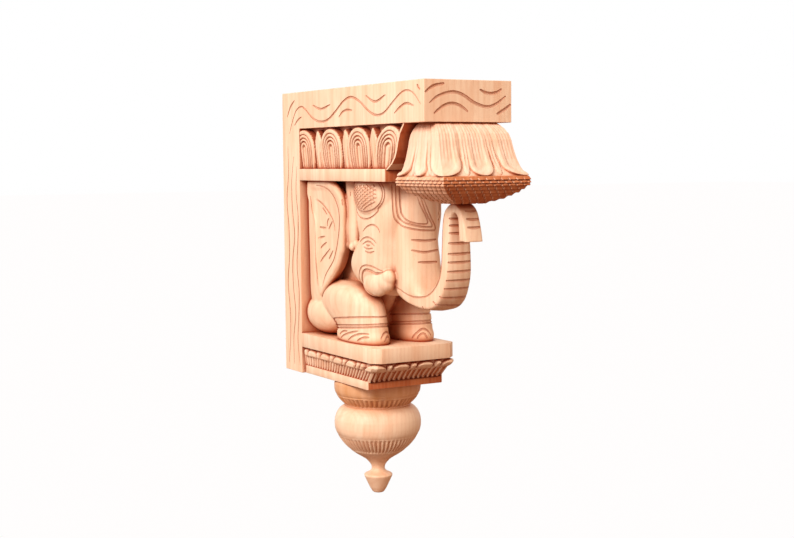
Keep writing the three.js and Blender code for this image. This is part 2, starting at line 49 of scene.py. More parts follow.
YAW, PITCH, ROLL = (math.radians(a) for a in (30.638, 4.561, -0.459))
aim = Matrix.Rotation(-YAW, 4, "Z") @ Matrix.Rotation(math.pi / 2 - PITCH, 4, "X")
camera.rotation_euler = (aim @ Matrix.Rotation(ROLL, 4, "Z")).to_euler()
camera.data.sensor_width = 36
camera.data.lens = 60.76
bpy.context.scene.camera = camera

# Light. A broad soft lamp high on the left, as a window is, in a white room. Its walls are warmer towards
# the front right, and what comes from below is a dim red brown, as light thrown back off bare wood is.
scene = bpy.context.scene
scene.view_settings.view_transform = "Standard"
scene.view_settings.look = "None"


def soft_lamp(name, place, target, size, power, tint):
    """A square lamp turned towards a point."""
    bpy.ops.object.light_add(type="AREA", location=place)
    lamp = bpy.context.object
    lamp.name = name
    lamp.data.size = size
    lamp.data.energy = power
    lamp.data.color = tint
    lamp.rotation_euler = (Vector(target) - Vector(place)).to_track_quat("-Z", "Y").to_euler()


soft_lamp("window", place=(-1.95, -1.25, 1.3), target=(0, -0.15, 0), size=0.9, power=62,
          tint=(1, 0.965, 0.94))
FRONT_RIGHT = (0.6, -0.8, 0)
WARM_WALL = (0.8, 0.58, 0.42, 1)
DIM_BELOW = (0.3, 0.12, 0.06, 1)


def hex_linear(text):
    """An sRGB hex colour as the linear colour that a shader socket takes."""
    parts = [int(text[i:i + 2], 16) / 255 for i in (1, 3, 5)]
    line = [c / 12.92 if c <= 0.04045 else ((c + 0.055) / 1.055) ** 2.4 for c in parts]
    return (*line, 1)


def add_node(tree, kind, settings=None, links=None):
    """A node with its settings, and with values or other nodes' outputs on its inputs."""
    node = tree.nodes.new(kind)
    for key, value in (settings or {}).items():
        setattr(node, key, value)
    for key, value in (links or {}).items():
        socket = node.inputs[key]
        if isinstance(value, bpy.types.NodeSocket):
            tree.links.new(value, socket)
        else:
            socket.default_value = value
    return node


world = bpy.data.worlds.new("white_room")
scene.world = world
world.use_nodes = True
world.node_tree.nodes.clear()
sky = world.node_tree
direction = add_node(sky, "ShaderNodeTexCoord").outputs["Generated"]
height = add_node(sky, "ShaderNodeSeparateXYZ", links={"Vector": direction}).outputs["Z"]
level = add_node(sky, "ShaderNodeMapRange", {"interpolation_type": "SMOOTHSTEP"},
                 {"Value": height, "From Min": -0.35, "From Max": -0.01, "To Min": 0.0, "To Max": 1.0})
from_front = add_node(sky, "ShaderNodeVectorMath", {"operation": "DOT_PRODUCT"},
                      {0: direction, 1: FRONT_RIGHT})
front_share = add_node(sky, "ShaderNodeMapRange", links={
    "Value": from_front.outputs["Value"], "From Min": 0.0, "From Max": 0.9})
walls_tint = add_node(sky, "ShaderNodeMix", {"data_type": "RGBA"}, {
    "Factor": front_share.outputs[0], "A": (1, 1, 1, 1), "B": WARM_WALL})
room = add_node(sky, "ShaderNodeMix", {"data_type": "RGBA"}, {
    "Factor": level.outputs[0], "A": DIM_BELOW, "B": walls_tint.outputs["Result"]})
walls = add_node(sky, "ShaderNodeBackground", links={"Color": room.outputs["Result"], "Strength": 1.0})
add_node(sky, "ShaderNodeOutputWorld", links={"Surface": walls.outputs[0]})

# Floor. A plain white studio floor well below the pendant. The camera sees it, but no light or colour
# comes back from it to the wood.
bpy.ops.mesh.primitive_plane_add(size=60, location=(0, 0, -0.62))
floor = bpy.context.object
floor.name = "floor"
white = bpy.data.materials.new("white_studio_floor")
white.use_nodes = True
white.node_tree.nodes.clear()
glow = add_node(white.node_tree, "ShaderNodeEmission", links={"Color": (1, 0.985, 0.98, 1), "Strength": 1.0})
add_node(white.node_tree, "ShaderNodeOutputMaterial", links={"Surface": glow.outputs[0]})
floor.data.materials.append(white)
floor.visible_diffuse = False
floor.visible_glossy = False
floor.visible_shadow = False

# Board and beam. The back board and the top beam are one angle of the block, sawn and planed square, with
# wavy lines cut into their sides and the beam's end by a small gouge, each stroke thinning to its ends.
MM = 0.001
BLOCK_WIDTH = 102
SIDE = BLOCK_WIDTH / 2
BOARD_HEIGHT = 318
BOARD_THICKNESS = 42
BEAM_DEPTH = 309
BEAM_UNDERSIDE = 277


def at(x, depth, z):
    """A point x from the middle, depth from the wall and z above the board's foot, all in millimetres."""
    return Vector((x, -depth, z - BOARD_HEIGHT / 2)) * MM


def let_go():
    """Nothing is selected, so that the next operator takes only what is added or chosen."""
    bpy.ops.object.select_all(action="DESELECT")


def keep_active(piece):
    """Only this piece is selected, and it is the active one."""
    let_go()
    piece.select_set(True)
    bpy.context.view_layer.objects.active = piece


def choose_faces(piece, wanted):
    """In edit mode, selects only the faces that are wanted."""
    bpy.ops.mesh.select_all(action="DESELECT")
    hand = bmesh.from_edit_mesh(piece.data)
    for face in hand.faces:
        if wanted(face):
            face.select_set(True)
    bmesh.update_edit_mesh(piece.data)


def apply_modifier(piece, kind, **settings):
    """Adds a modifier with its settings and applies it at once."""
    keep_active(piece)
    modifier = piece.modifiers.new(kind.lower(), kind)
    for key, value in settings.items():
        setattr(modifier, key, value)
    bpy.ops.object.modifier_apply(modifier=modifier.name)


def flowing(points, step, ease=0):
    """Points at about equal steps on a smooth curve through the given points, eased a number of times."""
    rows = np.array([tuple(p) for p in points], float)
    padded = np.vstack([2 * rows[0] - rows[1], rows, 2 * rows[-1] - rows[-2]])
    out = []
    for i in range(1, len(padded) - 2):
        a, b, c, d = padded[i - 1:i + 3]
        count = max(2, int(np.linalg.norm(c - b) / step))
        for t in np.arange(count)[:, None] / count:
            line = 2 * b + (c - a) * t + (2 * a - 5 * b + 4 * c - d) * t ** 2
            out.append((line + (3 * b - a - 3 * c + d) * t ** 3) / 2)
    out = np.array([*out, rows[-1]])
    for _ in range(ease):
        out[1:-1] = (out[:-2] + 2 * out[1:-1] + out[2:]) / 4
    return [Vector(p) for p in out]


def gouge(piece, lines, width):
    """Cuts strokes into a piece. A stroke follows the skin through its points and thins to its ends."""
    mesh = bmesh.new()
    mesh.from_mesh(piece.data)
    skin = BVHTree.FromBMesh(mesh)
    mesh.free()
    strokes = bpy.data.curves.new("strokes", "CURVE")
    strokes.dimensions = "3D"
    strokes.bevel_depth = width / 2 * MM
    strokes.bevel_resolution = 2
    strokes.use_fill_caps = True
    # The round cutter's middle runs just clear of the skin, so a stroke is a little less than half as deep
    # as it is wide
    lift = width * 0.04 * MM
    for line in lines:
        points = flowing(line, step=1.2 * MM, ease=6)
        spline = strokes.splines.new("POLY")
        spline.points.add(len(points) - 1)
        for i, point in enumerate(points):
            place, normal, _, _ = skin.find_nearest(point)
            spline.points[i].co = (*(place + normal * lift), 1)
            # A quarter of the full width at each end
            share = (i + 0.5) / len(points)
            spline.points[i].radius = 0.25 + 0.75 * math.sin(math.pi * share) ** 0.45
    cutter = bpy.data.objects.new("cutter", strokes)
    scene.collection.objects.link(cutter)
    keep_active(cutter)
    bpy.ops.object.convert(target="MESH")
    cutter = bpy.context.object
    bpy.ops.object.mode_set(mode="EDIT")
    bpy.ops.mesh.select_all(action="SELECT")
    bpy.ops.mesh.remove_doubles(threshold=0.001 * MM)
    bpy.ops.object.mode_set(mode="OBJECT")
    apply_modifier(piece, "BOOLEAN", operation="DIFFERENCE", solver="MANIFOLD", object=cutter)
    bpy.data.objects.remove(cutter)


def both_sides(lines):
    """The same lines on the near side and on the far side."""
    return [*lines, *[[Vector((-p.x, p.y, p.z)) for p in line] for line in lines]]


let_go()
bpy.ops.mesh.primitive_cube_add(size=1, location=at(0, BOARD_THICKNESS / 2, BOARD_HEIGHT / 2),
                                scale=(BLOCK_WIDTH * MM, BOARD_THICKNESS * MM, BOARD_HEIGHT * MM))
angle_block = bpy.context.object
angle_block.name = "angle_block"
bpy.ops.object.transform_apply(location=True, rotation=True, scale=True)
bpy.ops.object.mode_set(mode="EDIT")
bpy.ops.mesh.bisect(plane_co=at(0, 0, BEAM_UNDERSIDE), plane_no=(0, 0, 1))
choose_faces(angle_block, lambda face: face.normal.y < -0.9
             and face.calc_center_median().z > at(0, 0, BEAM_UNDERSIDE).z)
reach = (BEAM_DEPTH - BOARD_THICKNESS) * MM
bpy.ops.mesh.extrude_region_move(TRANSFORM_OT_translate={"value": (0, -reach, 0)})
bpy.ops.object.mode_set(mode="OBJECT")
apply_modifier(angle_block, "BEVEL", width=0.7 * MM, segments=2, limit_method="ANGLE")


def on_side(points):
    """Points of the near side, given by depth and height."""
    return [at(-SIDE, depth, z) for depth, z in points]


def on_end(points):
    """Points of the beam's end, given by their way across and height."""
    return [at(x, BEAM_DEPTH, z) for x, z in points]


side_waves = [
    [(18, 272), (25, 284), (35, 297), (48, 301.5), (59, 298), (75, 288.5), (93, 283.5), (112, 285),
     (131, 294), (147, 303), (164, 307), (182, 302), (200, 292), (216, 286.5), (232, 288), (250, 298),
     (265, 306), (277, 308.5), (290, 305), (303, 294)],
    [(77, 302), (96, 297), (118, 301)],
    [(196, 307), (215, 300), (236, 306)],
    [(137, 287), (145, 292), (155, 294), (167, 293)],
    [(253, 287), (265, 293), (277, 296), (290, 293)],
    [(13, 291), (21, 302), (32, 309)],
    [(296, 313), (302, 308)],
]
gouge(angle_block, both_sides([on_side(line) for line in side_waves]), width=2.8)
end_waves = [
    [(-45, 295), (-35, 302), (-19, 306), (-6, 303), (6, 296), (21, 292), (32, 295), (44, 303)],
    [(-50, 305), (-41, 311), (-28, 314)],
    [(13, 309), (19, 306), (27, 305), (35, 307), (39, 310)],
    [(-40, 285), (-30, 292), (-19, 295), (-8, 292), (-1, 287)],
    [(33, 285), (43, 290), (50, 295)],
]
gouge(angle_block, [on_end(line) for line in end_waves], width=3.7)
# Three long lines down the board's side, each with its depth, its sway and where its sway begins
board_lines = []
for start, sway, turn in ((12, 3.0, 0.4), (24, 3.6, 1.7), (35, 2.6, 2.9)):
    heights = np.linspace(270 - start, 8, 9)
    board_lines.append([(start + sway * math.sin(2.1 * i + turn), z) for i, z in enumerate(heights)])
board_lines.append([(31, 281), (40, 287), (49, 290)])
gouge(angle_block, both_sides([on_side(line) for line in board_lines]), width=2.3)


def in_mm(tree):
    """Object coordinates in millimetres."""
    spot = add_node(tree, "ShaderNodeTexCoord").outputs["Object"]
    scale = add_node(tree, "ShaderNodeVectorMath", {"operation": "SCALE"},
                     {"Vector": spot, "Scale": 1 / MM})
    return scale.outputs[0]


def blended(tree, factor, first, second):
    """The first colour, turned into the second by a factor from 0 to 1."""
    links = {"Factor": factor, "A": first, "B": second}
    return add_node(tree, "ShaderNodeMix", {"data_type": "RGBA"}, links).outputs["Result"]


def stretched_noise(tree, place, across, along, detail):
    """Noise whose marks are so many millimetres across the grain and along it; the grain is vertical."""
    squeeze = (1 / across, 1 / across, 1 / along)
    mapped = add_node(tree, "ShaderNodeMapping", links={"Vector": place, "Scale": squeeze})
    return add_node(tree, "ShaderNodeTexNoise", links={
        "Vector": mapped.outputs[0], "Scale": 1.0, "Detail": detail, "Roughness": 0.5}).outputs[0]


def spread(tree, value, low, high, out_low=0.0, out_high=1.0):
    """A value between two limits, stretched to run between two others and held there beyond them."""
    links = {"Value": value, "From Min": low, "From Max": high, "To Min": out_low, "To Max": out_high}
    return add_node(tree, "ShaderNodeMapRange", links=links).outputs[0]


def raw_wood(name, pale, warm, hollow_shade_tint, cut_shade_tint, roughness, cut_shade_reach):
    """Raw pale hardwood, planed or cut and left bare: straight vertical grain, fine pores, faint rings.

    The grain runs from pale to warm. Painted shade: wide hollows are turned to one tint, recesses and cuts
    to another, darker one, by how little open space a point sees.
    """
    wood = bpy.data.materials.new(name)
    wood.use_nodes = True
    tree = wood.node_tree
    tree.nodes.clear()
    place = in_mm(tree)
    # Growth rings 7 mm apart round a heart far to the left behind the block
    bent = stretched_noise(tree, place, 45, 300, 2)
    shifted = add_node(tree, "ShaderNodeVectorMath", {"operation": "MULTIPLY_ADD"},
                       {0: bent, 1: (26, 26, 0), 2: place})
    mapped = add_node(tree, "ShaderNodeMapping", links={
        "Vector": shifted.outputs[0], "Location": (150, 120, 0), "Rotation": (0.05, -0.04, 0)})
    rings = add_node(tree, "ShaderNodeTexWave", {"wave_type": "RINGS", "rings_direction": "Z"}, {
        "Vector": mapped.outputs[0], "Scale": 0.07, "Distortion": 1.2, "Detail": 2.0}).outputs[1]
    streaks = stretched_noise(tree, place, 9, 80, 3)
    blotches = stretched_noise(tree, place, 38, 130, 2)
    pores = stretched_noise(tree, place, 0.7, 9, 2)
    # Streaks and blotches of the warm tone over the pale one, then faint rings and fine dark pores
    ring_tone, pore_tone = hex_linear("#D79A70"), hex_linear("#B97A52")
    colour = blended(tree, spread(tree, streaks, 0.35, 0.68), hex_linear(pale), hex_linear(warm))
    colour = blended(tree, spread(tree, blotches, 0.4, 0.75, 0, 0.5), colour, hex_linear(warm))
    colour = blended(tree, spread(tree, rings, 0.55, 1.0, 0, 0.16), colour, ring_tone)
    colour = blended(tree, spread(tree, pores, 0.62, 0.78, 0, 0.35), colour, pore_tone)
    # Painted shade: hollows are tinted warmer and cuts redder and darker by ambient occlusion, in place of
    # the light that only arrives there off other wood.
    # A layer has its reach in millimetres, how open a place is where it is full and where it ends, and its
    # strength
    painted_shade_layers = [(48, 0.08, 0.82, 0.9, hollow_shade_tint), (cut_shade_reach, 0.2, 0.85, 0.9, cut_shade_tint),
              (2.6, 0.45, 0.93, 0.85, cut_shade_tint)]
    for reach, closed, wide_open, most, tint in painted_shade_layers:
        sky_seen = add_node(tree, "ShaderNodeAmbientOcclusion", {"samples": 8}, {"Distance": reach * MM})
        shade = spread(tree, sky_seen.outputs["AO"], closed, wide_open, most, 0.0)
        colour = blended(tree, shade, colour, hex_linear(tint))
    bump = add_node(tree, "ShaderNodeBump", links={"Strength": 0.25, "Distance": 0.25 * MM, "Height": pores})
    marks = stretched_noise(tree, place, 7, 13, 1)
    bump = add_node(tree, "ShaderNodeBump", links={
        "Strength": 0.35, "Distance": 0.6 * MM, "Height": marks, "Normal": bump.outputs[0]})
    surface = add_node(tree, "ShaderNodeBsdfPrincipled", links={
        "Base Color": colour, "Roughness": roughness, "IOR": 1.45, "Normal": bump.outputs[0]})
    add_node(tree, "ShaderNodeOutputMaterial", links={"Surface": surface.outputs[0]})
    return wood


# The block's planed and carved faces: bare, dry hardwood, so pale and dull, with painted shade turning
# orange to red in its cuts
carved_wood = raw_wood("raw_carved_hardwood", "#F3D2B2", "#EBBC98", "#B9602C", "#A03C10", 0.62, 8)
# Faces turned to the front get a darker, redder copy of the wood: painted shade, as the lamp on the left
# barely reaches them. They are rough, with no sheen
front_shade_wood = raw_wood("front_shaded_hardwood", "#CC7442", "#B4582C", "#9A3A14", "#74260A", 0.8, 10)


def shade_front(piece, wood, turned=0.55, below=BOARD_HEIGHT):
    """Gives a darker copy of the wood, painted shade, to the faces that are turned to the front and lie
    below a height.
    """
    piece.data.materials.append(wood)
    for face in piece.data.polygons:
        if face.normal.y < -turned and abs(face.normal.x) < 0.4 and face.center.z < at(0, 0, below).z:
            face.material_index = 1


def finish_carved(piece):
    """Shades the piece crisply at its cuts, gives it the wood, and puts it in the carved block's place."""
    piece.data.materials.clear()
    piece.data.materials.append(carved_wood)
    keep_active(piece)
    bpy.ops.object.shade_smooth_by_angle(angle=math.radians(32))
    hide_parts("carved_bracket")
    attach(piece, "root")


finish_carved(angle_block)
apply_modifier(angle_block, "WEIGHTED_NORMAL", keep_sharp=True)

# Frieze. Under the beam runs a row of broad arched petals with darts between them, cut into the block with
# nested gouge lines, above a plain fillet. Its front end is sawn to an ogee that drops back to the fillet.
FILLET_UNDERSIDE = 219
FILLET_TOP = 232
FILLET_REACH = 234
FRIEZE_FOOT = 231
FRIEZE_HEIGHT = 47
FRIEZE_RUN = 225
# Whatever grows out of the board is rooted a millimetre inside it
IN_BOARD = BOARD_THICKNESS - 1
DARTS = (82.6, 146, 205)
# Each petal's middle, how far it leans forward over its height, and its half width
ARCHED_PETALS = ((49.3, 0, 23.5), (112.9, 0, 23.5), (174.4, 0, 23.5), (233, 13, 25))
# The step of the grids that carved skins are made of
RELIEF_STEP = 0.6


def place_vertices(piece, place):
    """Moves a grid of size 1 so that its shares u and v go where place says, in millimetres."""
    count = len(piece.data.vertices)
    flat = np.empty(count * 3)
    piece.data.vertices.foreach_get("co", flat)
    flat = flat.reshape(-1, 3)
    x, depth, z = place(flat[:, 0] + 0.5, flat[:, 1] + 0.5)
    out = np.stack([x, -depth, z - BOARD_HEIGHT / 2], 1) * MM
    piece.data.vertices.foreach_set("co", out.ravel())
    piece.data.update()


def sheet_of(name, columns, rows, place):
    """A fine grid laid out as a carved skin."""
    let_go()
    bpy.ops.mesh.primitive_grid_add(x_subdivisions=columns, y_subdivisions=rows, size=1)
    piece = bpy.context.object
    piece.name = name
    place_vertices(piece, place)
    return piece


def close_up(piece):
    """Merges seams and poles, caps what is still open, and turns the faces outwards."""
    keep_active(piece)
    bpy.ops.object.mode_set(mode="EDIT")
    bpy.ops.mesh.select_all(action="SELECT")
    bpy.ops.mesh.remove_doubles(threshold=0.01 * MM)
    bpy.ops.mesh.fill_holes(sides=0)
    bpy.ops.mesh.normals_make_consistent(inside=False)
    bpy.ops.object.mode_set(mode="OBJECT")


def joined(name, pieces):
    """The pieces as one object under a name."""
    let_go()
    for piece in pieces:
        piece.select_set(True)
    bpy.context.view_layer.objects.active = pieces[0]
    bpy.ops.object.join()
    whole = bpy.context.object
    whole.name = name
    return whole


def tongue(across, rise, half, roundness=1.0):
    """How far a point lies inside a petal outline; rise is measured from its round end to its root."""
    tip = half * roundness
    return half - np.hypot(across, np.clip(tip - rise, 0, None) / roundness)


def scores(inside, places, width, depth):
    """Depth of the V cuts that follow an outline at some distances inside it."""
    cut = np.zeros_like(inside)
    for place in places:
        cut = np.maximum(cut, depth * np.clip(1 - np.abs(inside - place) / (width / 2), 0, 1))
    return cut


def ogee_depth(z):
    """How far out the sawn front end of the frieze stands at a height."""
    heights = [231, 237, 243, 251, 259, 267, 275, 279]
    return np.interp(z, heights, [236, 246, 252, 256, 258.5, 262, 269, 271])


def frieze_skin(depth, z):
    """Half width of the frieze at a depth and a height: sunk ground, darts and petals."""
    rise = np.clip((z - FILLET_TOP) / 39, 0, 1)
    low = np.minimum(1 - rise, 0.75)
    full = 46.2 + 4 * rise ** 0.7
    ground = full - 3.8 - 5 * np.clip((z - 259) / 10, 0, 1)
    skin = ground.copy()
    for centre in DARTS:
        half = 7.8 * np.clip((275 - z) / 13, 0, 1) ** 0.75
        inside = half - np.abs(depth - centre)
        dart = full - 0.8 - 3 * (1 - np.clip(inside / 2.6, 0, 1) ** 0.6)
        dart = dart - scores(inside, (4.2,), 2.8, 2.4 * low)
        skin = np.where(inside > 0, np.maximum(skin, dart), skin)
    for centre, lean, half in ARCHED_PETALS:
        middle = centre + lean * (rise - 0.4)
        narrow = 1 - 0.14 * np.clip((247 - z) / 15, 0, 1) ** 1.5
        inside = tongue(np.abs(depth - middle) / narrow, 276 - z, half, 0.92)
        petal = full - 3.2 * (1 - np.clip(inside / 1.8, 0, 1) ** 0.6)
        petal -= scores(inside, (6.2, 10.6, 14.8), 1.9 + 2.2 * low, 1.2 + 3.2 * low)
        petal -= 2.2 * np.clip((inside - 18.4) / 1.2, 0, 1) * (1 - np.clip((inside - 20.4) / 2.2, 0, 1))
        skin = np.where(inside > 0, np.maximum(skin, petal), skin)
    return skin


def frieze_side(hand_side):
    """The frieze's skin on one side; at its front end it steps out to the block's full width."""
    def place(u, v):
        z = FRIEZE_FOOT + FRIEZE_HEIGHT * v
        depth = IN_BOARD + (ogee_depth(z) - IN_BOARD) * u
        x = frieze_skin(depth, z)
        edge = np.clip((depth - (ogee_depth(z) - 5)) / 2, 0, 1)
        return hand_side * (x * (1 - edge) + (SIDE - 1.2) * edge), depth, z
    return place


columns, rows = int(FRIEZE_RUN / RELIEF_STEP), int(FRIEZE_HEIGHT / RELIEF_STEP)
near = sheet_of("frieze", columns, rows, frieze_side(-1))
far = sheet_of("frieze_far", columns, rows, frieze_side(1))
frieze = joined("frieze", [near, far])
bpy.ops.object.mode_set(mode="EDIT")
bpy.ops.mesh.select_all(action="DESELECT")
bpy.ops.mesh.select_mode(type="EDGE")
hand = bmesh.from_edit_mesh(frieze.data)
for edge in hand.edges:
    if edge.is_boundary:
        edge.select_set(True)
bmesh.update_edit_mesh(frieze.data)
bpy.ops.mesh.bridge_edge_loops()
bpy.ops.mesh.select_all(action="SELECT")
bpy.ops.mesh.normals_make_consistent(inside=False)
bpy.ops.object.mode_set(mode="OBJECT")
finish_carved(frieze)
# The frieze's faces turned to the front take painted shade
shade_front(frieze, front_shade_wood)

let_go()
middle = at(0, (IN_BOARD + FILLET_REACH) / 2, (FILLET_UNDERSIDE + FILLET_TOP) / 2)
bpy.ops.mesh.primitive_cube_add(size=1, location=middle, scale=(
    BLOCK_WIDTH * MM, (FILLET_REACH - IN_BOARD) * MM, (FILLET_TOP - FILLET_UNDERSIDE) * MM))
fillet = bpy.context.object
fillet.name = "frieze_fillet"
bpy.ops.object.transform_apply(location=True, rotation=True, scale=True)
apply_modifier(fillet, "BEVEL", width=0.8 * MM, segments=2)
finish_carved(fillet)
# The fillet's front end takes painted shade
shade_front(fillet, front_shade_wood)

# Lotus capital. A square flower hangs under the beam's end, pared from the block: fine reeds at its neck
# run down into long petals that flare to curled tips. Under a plain rim, a shallow bowl cut with rows of
# small scales rests on the bend of the trunk.
LOTUS_TOP = 278
RIM_TOP = 224
PETAL_TIP = 224.6
REED_PITCH = 4.3
# A face's carving is drawn this far to each side of its middle, and narrows with the flower
FACE_HALF = 51
# Each petal of a face: its middle, its half width, and how far in its rolled lip reaches
LOTUS_PETALS = ((-1, 16, 8.6), (-FACE_HALF, 25, 9.6), (FACE_HALF, 25, 9.6))
LOTUS_DART = 20.5
# The flower's plan at its neck and at its rim: half width, front and back
NECK_HALF, NECK_FRONT, NECK_BACK = 35, 303, 275
RIM_HALF, RIM_FRONT, RIM_BACK = 48, 339, 257
# The way round the flower and down it, which its grid is stepped along
LOTUS_GIRTH = 350
LOTUS_FALL = 64


def square_place(share, half, front, back):
    """A point of a square plan at a share of the way round it, with its way along the face and outward."""
    turn = (share % 1) * 4
    face = np.minimum(turn.astype(int), 3)
    along = (turn - face) * 2 - 1
    centre, deep = (front + back) / 2, (front - back) / 2
    x = np.choose(face, [along * half, half + 0 * along, -along * half, -half + 0 * along])
    depth = np.choose(face, [front + 0 * along, centre - along * deep, back + 0 * along,
                             centre + along * deep])
    lean = np.sign(along) * np.abs(along) ** 9
    out_x = np.choose(face, [lean, 1 + 0 * lean, -lean, -1 + 0 * lean])
    out_depth = np.choose(face, [1 + 0 * lean, -lean, -1 + 0 * lean, lean])
    size = np.hypot(out_x, out_depth)
    return x, depth, along, out_x / size, out_depth / size


def rolled(inside, reach, height):
    """A rounded band along an outline, that reaches so far inside it."""
    share = np.clip(inside / reach, 0, 1)
    return height * 4 * share * (1 - share)


def lotus_relief(along, z):
    """How proud the carved petals stand, at a way along a face from -1 to 1 and a height."""
    x = along * FACE_HALF
    proud = np.zeros_like(x)
    # The petals sink away upwards, where the reeds take over
    faint = 1 - 0.7 * np.clip((z - 238) / 16, 0, 1)
    for side in (-1, 1):
        centre = side * (LOTUS_DART - 3 * np.clip((z - 232) / 30, 0, 1))
        inside = tongue(np.abs(x - centre), z - 225.5, 4.4, 2.6)
        dart = faint * (1.5 * np.clip(inside / 2, 0, 1) ** 0.6 + rolled(inside, 4.4, 0.6))
        proud = np.where(inside > 0, np.maximum(proud, dart), proud)
    for centre, half, lip in LOTUS_PETALS:
        narrow = 1 - 0.1 * np.clip((z - 230) / 40, 0, 1) * (half < 20)
        inside = tongue(np.abs(x - centre) / narrow, z - PETAL_TIP, half, 12 / half)
        petal = faint * (1.8 * np.clip(inside / 1.6, 0, 1) ** 0.6 + rolled(inside, lip, 1.5))
        petal -= 0.9 * faint * np.clip((inside - lip + 1) / 3, 0, 1)
        curl = np.clip(1 - (z - PETAL_TIP) / 10, 0, 1) ** 1.2
        petal += 1.8 * curl * np.clip(1 - inside / 8, 0, 1)
        proud = np.where(inside > 0, np.maximum(proud, petal), proud)
    reeds = np.clip((z - 234) / 12, 0, 1) * (0.5 + 0.5 * np.cos(x * 2 * math.pi / REED_PITCH))
    proud += 0.45 * reeds
    return proud


def lotus_flower(u, v):
    """The flower's skin, from its rim up to its neck, with the petals standing out of it."""
    z = RIM_TOP - 1 + (LOTUS_TOP - RIM_TOP + 1) * v
    drop = np.clip(BEAM_UNDERSIDE - z, 0, 53)
    flare = np.interp(drop, [0, 3, 6.1, 11, 17, 27.7, 36.1, 43.2, 48.2, 53],
                      [0.02, 0.17, 0.29, 0.42, 0.5, 0.58, 0.66, 0.77, 0.88, 0.96])
    half = NECK_HALF + (RIM_HALF - NECK_HALF) * flare
    front = NECK_FRONT + (RIM_FRONT - NECK_FRONT) * flare
    back = NECK_BACK - (NECK_BACK - RIM_BACK) * flare
    x, depth, along, out_x, out_depth = square_place(u, half, front, back)
    proud = lotus_relief(along, z)
    return x + out_x * proud, depth + out_depth * proud, z


lotus = sheet_of("lotus_flower", int(LOTUS_GIRTH / RELIEF_STEP), int(LOTUS_FALL / RELIEF_STEP),
                 lotus_flower)
close_up(lotus)
finish_carved(lotus)
# Pared smooth with a keen edge and a little pink. Its painted shade in hollows and cuts is much fainter than
# elsewhere, so the petals are the palest wood of the block
lotus.data.materials[0] = raw_wood("pared_hardwood_faint_shade", "#F4D0B6", "#EDC0A0", "#E2A884", "#C0683A", 0.6, 4)

BOWL_MIDDLE = 298
BOWL_HALF = 50.3
BOWL_HALF_DEPTH = 43.5
SCALE_ROWS = 9
SCALE_PITCH = 9


def lotus_bowl(u, v):
    """Rim band and bowl, from the middle of the rim's top outwards, down and under to the middle."""
    way = [0, 0.04, 0.08, 0.12, 0.28, 0.36, 0.55, 0.75, 0.92, 0.97, 1.0]
    width = np.interp(v, way, [0, 0.9, 0.97, 0.985, 0.995, 0.985, 0.82, 0.58, 0.32, 0.12, 0])
    z = np.interp(v, way, [225, 225, 224.8, 224, 218.5, 216.5, 209.5, 203, 199, 198.6, 198.5])
    deep = BOWL_HALF_DEPTH * width
    x, depth, along, out_x, out_depth = square_place(
        u, BOWL_HALF * width, BOWL_MIDDLE + deep, BOWL_MIDDLE - deep)
    # The scales cover the bowl between these shares of the way, in rows laid like bricks
    start, end = 0.12, 0.93
    row = np.clip((v - start) / (end - start), 0, 0.9999) * SCALE_ROWS
    level = row.astype(int)
    part = row - level
    brick = (along * FACE_HALF * width / SCALE_PITCH + 0.5 * (level % 2) + 0.25) % 1
    joint = np.clip(1 - np.minimum(brick, 1 - brick) * 7, 0, 1)
    edge = np.clip(part / 0.75, 0, 1) ** 1.5 * np.clip((1 - part) / 0.12, 0, 1)
    scale = (0.2 + 1.35 * edge) * (1 - joint) * ((v > start) & (v < end))
    down = np.interp(v, way, [0, 0, 0, 0, 0.1, 0.4, 0.75, 0.85, 1, 1, 1])
    push = scale * np.sqrt(1 - down ** 2 * 0.9)
    return x + out_x * push, depth + out_depth * push, z - scale * down


bowl = sheet_of("lotus_bowl", int(LOTUS_GIRTH / RELIEF_STEP), 130, lotus_bowl)
close_up(bowl)
finish_carved(bowl)
# Scales chopped with a small gouge: the wood is rougher than on the petals, and darker and redder with
# painted shade, as the bowl hangs under the capital away from the lamp
bowl.data.materials[0] = raw_wood("shaded_scaled_hardwood", "#EDBC9A", "#DC9C74", "#A85424", "#7A2A0C", 0.7, 6)
# The bowl's faces turned to the front get its darkest, reddest copy of the wood: painted shade, where the
# lamp from the left and above does not reach
bowl_front_shade_wood = raw_wood("shaded_bowl_front", "#CC7C4C", "#B86234", "#8A320C", "#64200A", 0.75, 6)
shade_front(bowl, bowl_front_shade_wood, turned=0.12)

# Elephant. It stands on the slab and holds up the capital with its raised trunk: rounded body and thighs,
# broad forehead, big ears laid back along the body. It is one with the block, rounded with flat gouges and
# rasped smooth, and its eyes, cloth, cap and wrinkles are lines cut in with small gouges.


def flow(values):
    """A smooth value along a form, from a few values at equal steps."""
    values = np.array(values, float)
    padded = np.concatenate([[2 * values[0] - values[1]], values, [2 * values[-1] - values[-2]]])

    def value(share):
        place = np.clip(share, 0, 1) * (len(values) - 1)
        i = np.minimum(place.astype(int), len(values) - 2)
        t = place - i
        a, b, c, d = padded[i], padded[i + 1], padded[i + 2], padded[i + 3]
        line = 2 * b + (c - a) * t + (2 * a - 5 * b + 4 * c - d) * t ** 2
        return (line + (3 * b - a - 3 * c + d) * t ** 3) / 2
    return value


def superellipse(turn, power):
    """A point of a rounded square of half size 1 at a turn; it is squarer the higher the power."""
    cosine, sine = np.cos(2 * math.pi * turn), np.sin(2 * math.pi * turn)
    across = np.sign(cosine) * np.abs(cosine) ** (2 / power)
    along = np.sign(sine) * np.abs(sine) ** (2 / power)
    return across, along


